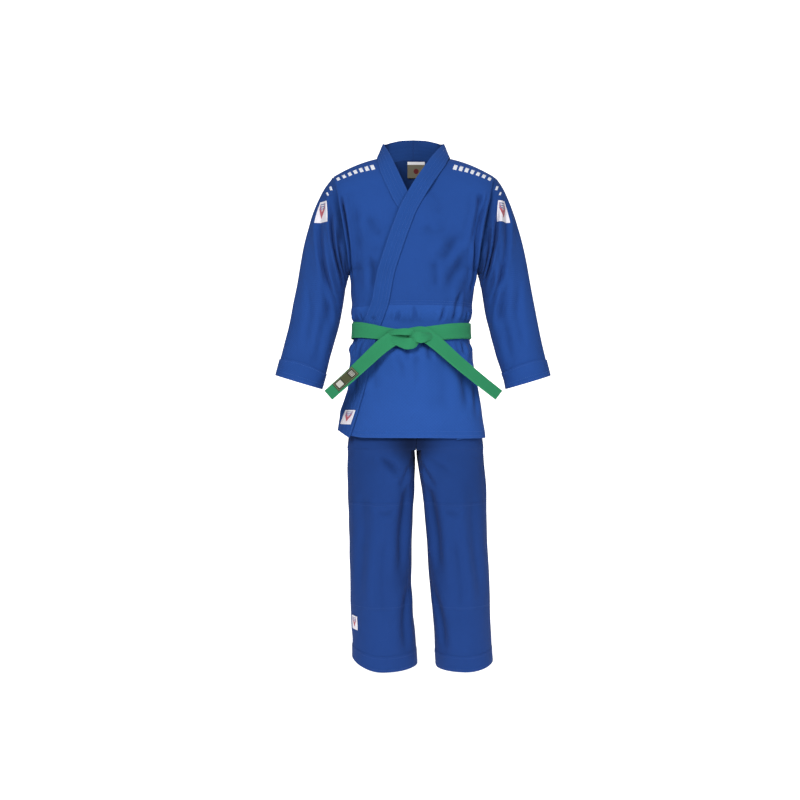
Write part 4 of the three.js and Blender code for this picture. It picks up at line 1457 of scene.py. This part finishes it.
def make_sleeves():
    for hand, name in SIDES:
        angle, t = ring(130, 165)
        t = t**1.15
        mid, uv = sleeve_grid(hand, t, angle, -cloth / 2)
        # Painted shade by the armhole at the front and under the arm, and painted shade on the sleeve's
        # inner side.
        shade = 0.95 * np.exp(-((t / 0.1) ** 2)) * smoothstep(-np.cos(angle), -0.75, 0.1)
        shade = shade + 0.35 * smoothstep(-np.cos(angle), 0.1, 0.9) * (1 - smoothstep(t, 0.25, 0.75))
        piece = slab(f"sleeve_{name}_cloth", mid, uv, cloth, jacket_weave, 2 * PI * sleeve_girth,
                     shade=shade, inside=0.5)
        fit(piece, mid, f"sleeve_{name}", loop=True)
        bend_sleeve(piece)

        angle, v = ring(130, 16)
        mid, uv = sleeve_grid(hand, above_cuff(angle, cuff_band * (1 - v)), angle, 1.3 * MM)
        piece = slab(f"cuff_{name}_cloth", mid, uv, 1.8 * MM, jacket_weave, 2 * PI * sleeve_girth)
        fit(piece, mid, f"cuff_band_{name}", f"sleeve_{name}", True)

        u, v = uv_grid(44, 40)
        spread = 0.5 * (1 - np.abs(2 * v - 1) * 0.6)
        mid, uv = sleeve_grid(hand, lerp(0.16, 0.42, v), PI + spread * (2 * u - 1), 1.2 * MM)
        piece = slab(f"underarm_gusset_{name}_cloth", mid, uv, 1.6 * MM, jacket_weave)
        fit(piece, mid, f"underarm_gusset_{name}")
        bend_sleeve(piece)

        u, v = uv_grid(30, 20)
        lowest = 233 if hand < 0 else 225
        x = hand * lerp(lowest, lowest - 6, v) * MM + (u - 0.5) * lerp(34, 17, v**1.6) * MM
        mid = on_sleeve(hand, x, lerp(-170, -116, v) * MM, 1.2 * MM)
        piece = slab(f"shoulder_badge_{name}_cloth", mid, patch_uv(u, v), patch_thick, badge_cloth)
        fit(piece, mid, f"shoulder_badge_{name}")
        bend_sleeve(piece)

        bars = []
        for x, z, wide, tall in ((208, -84, 6, 11), (217, -97, 5, 9)):
            u, v = uv_grid(8, 5)
            across = hand * (x + (u - 0.5) * wide + (v - 0.5) * 4) * MM
            mid = on_sleeve(hand, across, (z + (v - 0.5) * tall) * MM, 0.5 * MM)
            bars.append(slab_parts(mid, np.stack([u * wide * MM, v * tall * MM], -1), bar_thick))
        piece = several_slabs(f"sleeve_bars_{name}", bars, embroidery)
        bend_sleeve(piece)


make_sleeves()


# ---- trousers ----

leg_girth = 84 * MM
hip_girth = 140 * MM


def hip_half_width(z):
    return half_width(np.maximum(z, -crotch_drop)) - trouser_ease


def hip_half_depth(z):
    return half_depth(np.maximum(z, -crotch_drop)) - trouser_ease


def leg_line(*points):
    """A line on a leg: millimetres below the crotch, and degrees from the middle of the front."""
    return [(-crotch_drop - z * MM, math.radians(a) * leg_girth) for z, a in points]


def leg_folds(hand):
    """Drag lines from the crotch and soft folds down the leg. Angles below 0 are on its inner side."""
    drag = (11, 4, 0.45, (6, -60), (34, -30), (60, 4))
    if hand < 0:
        drag = (10, 8, 0.45, (8, 12), (38, -16), (72, -46))
    return grooves(leg_line, [
        drag,
        (10, 4, 0.3, (20, -74), (62, -52), (104, -30)),
        (15, 8, 0.3, (60, -58), (190, -44), (330, -38)),
        (18, 5, 0.3, (200, -8), (300, -2), (430, -6)),
        (18, 5, 0.3, (70, 34), (220, 30), (400, 40)),
        (14, 6, 0.3, (330, -66), (420, -48), (520, -42)),
        (8, 2.5, 0.3, (150, -30), (158, -6), (152, 14)),
        (18, 4, 0.3, (40, 170), (180, 160), (330, 176)),
        (18, 3.4, 0.3, (120, -150), (260, -140), (440, -150)),
        (18, 3, 0.3, (300, 140), (400, 150), (520, 140)),
    ])


folds_of_leg = {hand: leg_folds(hand) for hand, _ in SIDES}
leg_shift = 5 * MM


def tube_uv(angle, z, radius):
    return np.stack([angle * radius, z], -1)


def hip(angle, z, offset):
    base = np.stack([hip_half_width(z) * np.sin(angle), -hip_half_depth(z) * np.cos(angle), z], -1)
    gather = 1.6 * MM * np.sin(38 * angle + 2 * np.sin(5 * angle))
    near_band = np.exp(-(((z - trouser_top + waistband_width + 12 * MM) / (34 * MM)) ** 2))
    out = offset + 1.2 * MM * waves(base, 0.14, 41) + gather * near_band
    lower = smoothstep(-z, 0.45, 0.68)
    a = hip_half_width(z) + out - 8 * MM * lower
    b = hip_half_depth(z) + out
    return np.stack([a * np.sin(angle) + leg_shift * lower, -b * np.cos(angle), z], -1)


def leg(hand, angle, z, offset):
    angle, z, offset = np.broadcast_arrays(angle, z, offset)
    t = np.clip((-crotch_drop - z) / (trouser_length - crotch_drop), 0, 1)
    hip_width, hip_depth = float(hip_half_width(-crotch_drop)), float(hip_half_depth(-crotch_drop))
    top_half = (hip_width - leg_gap / 2) / 2
    half = lerp(top_half, leg_hem_half_width, smoothstep(t, 0, 0.8))
    centre = lerp(top_half + leg_gap / 2, hem_centre[hand], t)
    flare = smoothstep(t, 0.55, 1)
    if hand > 0:
        centre = centre + 4 * MM * smoothstep(t, 0, 0.25)
        half = half - 3 * MM * smoothstep(t, 0, 0.25) - 4 * MM * flare
    else:
        centre = centre - 6 * MM * flare
        half = half + 6 * MM * flare
    depth = lerp(hip_depth, leg_hem_half_depth, smoothstep(t, 0, 0.9))
    wrapped = (angle + PI) % (2 * PI) - PI
    total = np.zeros(t.shape)
    for groove in folds_of_leg[hand]:
        total = total + groove(z, wrapped * leg_girth)
    top_half_width = hip_width - 8 * MM
    across = centre + half * np.sin(angle)
    across = across - 8 * MM * (1 - smoothstep(t, 0, 0.8)) * smoothstep(across, 0, top_half_width)
    round_hip = hip_depth * np.sqrt(np.maximum(0, 1 - (across / top_half_width) ** 2))
    inner_side = np.where(np.sin(angle) < 0, np.minimum(1, np.abs(np.cos(angle)) / 0.45) ** 0.6, 1)
    half_hip = np.sign(np.cos(angle)) * round_hip * inner_side
    y = -lerp(depth * np.cos(angle), half_hip, 1 - smoothstep(t, 0, 0.3))
    base = np.stack([hand * across + leg_shift * (1 - smoothstep(t, 0, 0.8)), y, z], -1)
    total = total + 2.4 * MM * waves(base, 0.2, 50 + hand) + 0.6 * MM * waves(base, 0.06, 60 + hand)
    out = offset + total * smoothstep(t, 0, 0.05)
    outer, inner = (12, -2) if hand > 0 else (21, 3)
    rise = np.where(np.sin(angle) > 0, outer, inner) * MM
    x = base[..., 0] + hand * out * np.sin(angle)
    y = base[..., 1] - out * np.cos(angle)
    return np.stack([x, y, z + rise * np.sin(angle) ** 2 * smoothstep(t, 0.8, 1)], -1)


def bend_leg(piece):
    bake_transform(piece)


def crotch_shade(mid):
    """Painted shade between the legs, where they meet under the jacket's hem."""
    x, z = mid[..., 0] + 4 * MM, mid[..., 2]
    wide = lerp(26, 62, smoothstep(z, -crotch_drop - 40 * MM, -crotch_drop + 20 * MM)) * MM
    return 1.15 * np.exp(-((x / wide) ** 2)) * smoothstep(z, -crotch_drop - 90 * MM, -crotch_drop + 10 * MM)


def trouser_piece(name, mid, uv, thick, node, body, turn=None):
    piece = slab(name, mid, uv, thick, trouser_twill, turn, shade=crotch_shade(mid))
    return fit(piece, mid, node, body, turn is not None)


def make_seat():
    angle, v = ring(200, 18)
    waist_low = trouser_top - waistband_width
    z = lerp(waist_low, trouser_top, v)
    scallop = 0.8 * MM * np.sin(60 * angle) * np.sin(PI * v)
    trouser_piece("waistband_cloth", hip(angle, z, scallop - band_thick / 2), tube_uv(angle, z, hip_girth),
                  band_thick, "waistband", "trousers", 2 * PI * hip_girth)
    for hand, name in SIDES:
        u, v = uv_grid(16, 8)
        angle = hand * (30 * MM + (u - 0.5) * 9 * MM) / float(hip_half_width(trouser_top))
        z = lerp(waist_low + 4 * MM, trouser_top - 4 * MM, v)
        mid = hip(angle, z, 1.6 * MM + 1.5 * MM * np.sin(PI * v))
        trouser_piece(f"waistband_loop_{name}_cloth", mid, np.stack([u * 9 * MM, z], -1),
                      patch_thick, f"waistband_loop_{name}", "trousers")
        u, v = uv_grid(90, 120)
        z = lerp(-crotch_drop - cloth / 2, waist_low + cloth / 2, v)
        angle = hand * lerp(0.002, PI - 0.002, u)
        trouser_piece(f"seat_{name}_cloth", hip(angle, z, -cloth / 2), tube_uv(angle, z, hip_girth),
                      cloth, f"seat_{name}", "trousers")
    u, v = uv_grid(60, 20)
    reach = float(hip_half_depth(-crotch_drop)) - 6 * MM
    y = lerp(-reach, reach, v)
    x = (2 * u - 1) * 24 * MM * (1 - 0.7 * np.abs(2 * v - 1))
    crown = 4 * MM * np.cos(PI * (v - 0.5)) * (1 - (2 * u - 1) ** 2)
    trouser_piece("crotch_gusset_cloth", np.stack([x, y, -crotch_drop + 2 * MM + crown], -1),
                  np.stack([x, y], -1), cloth, "crotch_gusset", "trousers")


leg_run = trouser_length - crotch_drop
leg_turn = 2 * PI * leg_girth


def leg_piece(name, hand, angle, z, offset, thick, node, body, turn=None):
    return trouser_piece(name, leg(hand, angle, z, offset), tube_uv(angle, z, leg_girth), thick,
                         node, body, turn)


def make_legs():
    for hand, name in SIDES:
        angle, v = ring(150, 165)
        z = lerp(-trouser_length, -crotch_drop + cloth / 2, v)
        bend_leg(leg_piece(f"leg_{name}_cloth", hand, angle, z, -cloth / 2, cloth,
                           f"trouser_leg_{name}", None, leg_turn))
        angle, v = ring(150, 14)
        z = lerp(-trouser_length, hem_band - trouser_length, v)
        leg_piece(f"leg_hem_{name}_cloth", hand, angle, z, 0.4 * MM, 0.8 * MM,
                  f"leg_hem_band_{name}", f"leg_{name}", leg_turn)
        u, v = uv_grid(80, 66)
        z = -crotch_drop - leg_run * lerp(0.72, 0.24, v)
        bend_leg(leg_piece(f"knee_patch_{name}_cloth", hand, np.radians(lerp(-66, 66, u)), z, 0.4 * MM,
                           0.7 * MM, f"knee_patch_{name}", None))
    u, v = uv_grid(16, 12)
    mid = leg(-1, np.radians(lerp(68, 49, u)), lerp(98, 133, v) * MM - trouser_length, 1.4 * MM)
    piece = slab("leg_badge_cloth", mid, patch_uv(u, v), patch_thick, badge_cloth)
    fit(piece, mid, "leg_badge", "leg_right")


make_seat()
make_legs()


# ---- stitches ----

def stitch_tree():
    """Geometry Nodes that lay one rounded stitch at every step along each curve."""
    tree = bpy.data.node_groups.new("stitch_rows", "GeometryNodeTree")
    inside = tree.interface
    inside.new_socket("Rows", in_out="INPUT", socket_type="NodeSocketGeometry")
    for name in ("Pitch", "Length", "Width"):
        inside.new_socket(name, in_out="INPUT", socket_type="NodeSocketFloat")
    inside.new_socket("Thread", in_out="INPUT", socket_type="NodeSocketMaterial")
    inside.new_socket("Stitches", in_out="OUTPUT", socket_type="NodeSocketGeometry")

    def node(kind, **settings):
        made = tree.nodes.new(kind)
        for key, value in settings.items():
            setattr(made, key, value)
        return made

    start, end = node("NodeGroupInput"), node("NodeGroupOutput")
    points = node("GeometryNodeCurveToPoints", mode="LENGTH")
    stitch = node("GeometryNodeMeshUVSphere")
    stitch.inputs["Segments"].default_value = 6
    stitch.inputs["Rings"].default_value = 4
    stitch.inputs["Radius"].default_value = 0.5
    size = node("ShaderNodeCombineXYZ")
    lay = node("GeometryNodeInstanceOnPoints")
    smooth = node("GeometryNodeSetShadeSmooth")
    real = node("GeometryNodeRealizeInstances")
    paint = node("GeometryNodeSetMaterial")
    for a, b in (
        (start.outputs["Rows"], points.inputs["Curve"]),
        (start.outputs["Pitch"], points.inputs["Length"]),
        (points.outputs["Points"], lay.inputs["Points"]),
        (points.outputs["Rotation"], lay.inputs["Rotation"]),
        (stitch.outputs["Mesh"], lay.inputs["Instance"]),
        (start.outputs["Width"], size.inputs["X"]),
        (start.outputs["Width"], size.inputs["Y"]),
        (start.outputs["Length"], size.inputs["Z"]),
        (size.outputs["Vector"], lay.inputs["Scale"]),
        (lay.outputs["Instances"], real.inputs["Geometry"]),
        (real.outputs["Geometry"], smooth.inputs["Geometry"]),
        (smooth.outputs["Geometry"], paint.inputs["Geometry"]),
        (start.outputs["Thread"], paint.inputs["Material"]),
        (paint.outputs["Geometry"], end.inputs["Stitches"]),
    ):
        tree.links.new(a, b)
    return tree


stitching = stitch_tree()


stitch_sizes = (("Pitch", 4.6 * MM), ("Length", 3.2 * MM), ("Width", 0.75 * MM))


def stitch_rows(name, rows, material, body=None):
    """One mesh of every stitch along the given rows of points."""
    curve = bpy.data.curves.new(name, "CURVE")
    curve.dimensions = "3D"
    for row in rows:
        spline = curve.splines.new("POLY")
        spline.points.add(len(row) - 1)
        places = np.concatenate([row, np.ones((len(row), 1))], 1)
        spline.points.foreach_set("co", places.astype(np.float32).ravel())
    holder = linked(name + "_rows", curve)
    modifier = holder.modifiers.new("stitches", "NODES")
    modifier.node_group = stitching
    named = {item.name: item.identifier for item in stitching.interface.items_tree}
    for key, value in (*stitch_sizes, ("Thread", material)):
        modifier[named[key]] = value
    holder.update_tag()
    graph = bpy.context.evaluated_depsgraph_get()
    mesh = bpy.data.meshes.new_from_object(holder.evaluated_get(graph), depsgraph=graph)
    mesh.name = name
    holder.modifiers.clear()
    bpy.data.objects.remove(holder)
    made = linked(name, mesh)
    if body:
        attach(made, body)
    return made


def lapel_stitches():
    rows = []
    for grid in lapel_grids.values():
        normals = grid_normals(grid, False)
        facing = -np.sign((normals[:200, :, 1]).mean())
        last = len(grid) - 3
        for share in lapel_rows:
            column = int(round(share * (grid.shape[1] - 1)))
            rows.append(grid[3:last, column] + normals[3:last, column] * facing * 1.15 * MM)
    stitch_rows("lapel_stitches", rows, blue_thread, "jacket")


def row_round_body(first, last, height, over, count):
    """A row of points at one height, on the left front if over, and on the body's own cloth if not."""
    angle = np.linspace(first, last, count)
    z = np.full(count, height)
    stand = over_offset(half_width(z) * np.sin(angle), z) if over else 0.0
    return angle, torso(angle, z, stand + cloth + 0.15 * MM)


def body_stitches():
    """The double row over the waist seam, and the double row along the hem."""
    rows = []
    for drop in (5 * MM, 11 * MM):
        level = waist_seam + drop
        start = float(angle_of(over_lapel_x(level) + lapel_width * 0.6, level))
        for first, last, over in ((start, PI / 2 - 0.03, True), (PI / 2 + 0.03, PI - 0.01, False),
                                  (0.01 - PI, -PI / 2 - 0.03, False)):
            rows.append(row_round_body(first, last, level, over, 160)[1])
    for first, last, over in ((-0.9, PI / 2 - 0.05, True), (PI / 2 + 0.05, PI - 0.02, False),
                              (0.02 - PI, -PI / 2 - 0.05, False)):
        for inset in (7 * MM, 16 * MM):
            angle, row = row_round_body(first, last, inset - jacket_length, over, 200)
            row[:, 2] -= hem_curve(angle) * (1 - inset / (waist_seam + jacket_length)) ** 2
            rows.append(row)
    stitch_rows("body_stitches", rows, blue_thread, "jacket")


def sleeve_stitches():
    angle = np.linspace(-PI, PI, 180)
    for hand, name in SIDES:
        rows = [sleeve(hand, above_cuff(angle, inset), angle, 2.35 * MM)
                for inset in (5 * MM, 12 * MM, cuff_band - 4 * MM)]
        stitch_rows(f"cuff_stitches_{name}", rows, blue_thread, f"sleeve_{name}")


def trouser_stitches():
    """Two rows round each hem, a frame round each knee patch and a double row down the side seam."""
    top, bottom = -crotch_drop - leg_run * 0.25, -crotch_drop - leg_run * 0.71
    for hand, name in SIDES:
        angle = np.linspace(-PI, PI, 200)
        rows = [leg(hand, angle, np.full(200, inset - trouser_length), 0.9 * MM)
                for inset in (6 * MM, 34 * MM)]
        stitch_rows(f"hem_stitches_{name}", rows, twill_thread, f"leg_{name}")
        z = np.linspace(bottom, top, 90)
        rows = [leg(hand, np.full(90, math.radians(side)), z, 0.85 * MM) for side in (-63, 63)]
        angle = np.radians(np.linspace(-63, 63, 80))
        rows += [leg(hand, angle, np.full(80, level), 0.85 * MM) for level in (top, bottom)]
        z = np.linspace(-trouser_length + hem_band + 4 * MM, -crotch_drop - 4 * MM, 140)
        rows += [leg(hand, np.full(140, PI / 2 + side), z, 0.1 * MM) for side in (-0.03, 0.03)]
        bend_leg(stitch_rows(f"leg_stitches_{name}", rows, twill_thread))


lapel_stitches()
body_stitches()
sleeve_stitches()
trouser_stitches()


# ---- stage ----

white = (1, 1, 1, 1)
floor_radius = 1.1
floor_drop = 60 * MM
backdrop_reach = 16.0
camera_place = (-34.6 * MM, -2.5, -614.5 * MM)
lamps = (                        # name, place, width and power
    ("key", (-0.9, -3.4, 0.9), 1.1, 95),
    ("fill", (1.5, -3.0, -0.3), 1.2, 34),
    ("back", (0.9, 3.2, 0.9), 1.6, 95),
)


def area_light(name, place, target, size, power):
    lamp = bpy.data.lights.new(name, "AREA")
    lamp.shape = "DISK"
    lamp.size = size
    lamp.energy = power
    made = linked(name, lamp)
    made.location = place
    made.rotation_euler = (Vector(target) - Vector(place)).to_track_quat("-Z", "Y").to_euler()


def staged(name, corners, faces, roughness, glow):
    """A piece of the studio, with a plain finish that gives off some light."""
    mesh = bpy.data.meshes.new(name)
    mesh.from_pydata(corners, [], faces)
    finish = Finish(name + "_paper", roughness, 0.0)
    finish.shader.inputs["Emission Color"].default_value = white
    finish.shader.inputs["Emission Strength"].default_value = glow
    mesh.materials.append(finish.material)
    return linked(name, mesh), finish


def make_stage():
    scene = bpy.context.scene
    middle = Vector((0, 0, (cad_low.z + cad_high.z) / 2))
    level = cad_low.z - floor_drop
    turns = np.linspace(0, 2 * PI, 96, endpoint=False)
    disc = [(floor_radius * math.cos(a), floor_radius * math.sin(a), level) for a in turns]
    floor, paper = staged("floor", disc, [list(range(96))], 0.9, 0.62)
    paper.set("Base Color", paper.mix(paper.noise(4.0), (0.88, 0.88, 0.88, 1), (0.9, 0.9, 0.9, 1)))
    ends = (-backdrop_reach, backdrop_reach)
    corners = [(x, y, z) for x in ends for y in ends for z in ends]
    faces = [(0, 1, 3, 2), (4, 6, 7, 5), (0, 4, 5, 1), (2, 3, 7, 6), (0, 2, 6, 4), (1, 5, 7, 3)]
    backdrop, _ = staged("white_backdrop", corners, faces, 1.0, 1.3)
    backdrop.visible_diffuse = False
    backdrop.visible_glossy = False
    backdrop.visible_transmission = False
    backdrop.visible_shadow = False
    world = bpy.data.worlds.new("studio")
    world.use_nodes = True
    sky = world.node_tree.nodes["Background"]
    sky.inputs["Color"].default_value = white
    sky.inputs["Strength"].default_value = 0.3
    scene.world = world
    for name, place, size, power in lamps:
        area_light(name, place, middle, size, power)
    camera = bpy.data.cameras.new("camera")
    camera.lens = 43.9
    camera.sensor_width = 36
    camera.clip_end = 100
    holder = linked("camera", camera)
    holder.location = camera_place
    holder.rotation_euler = (PI / 2, 0, 0)
    scene.camera = holder
    scene.view_settings.view_transform = "Standard"


make_stage()
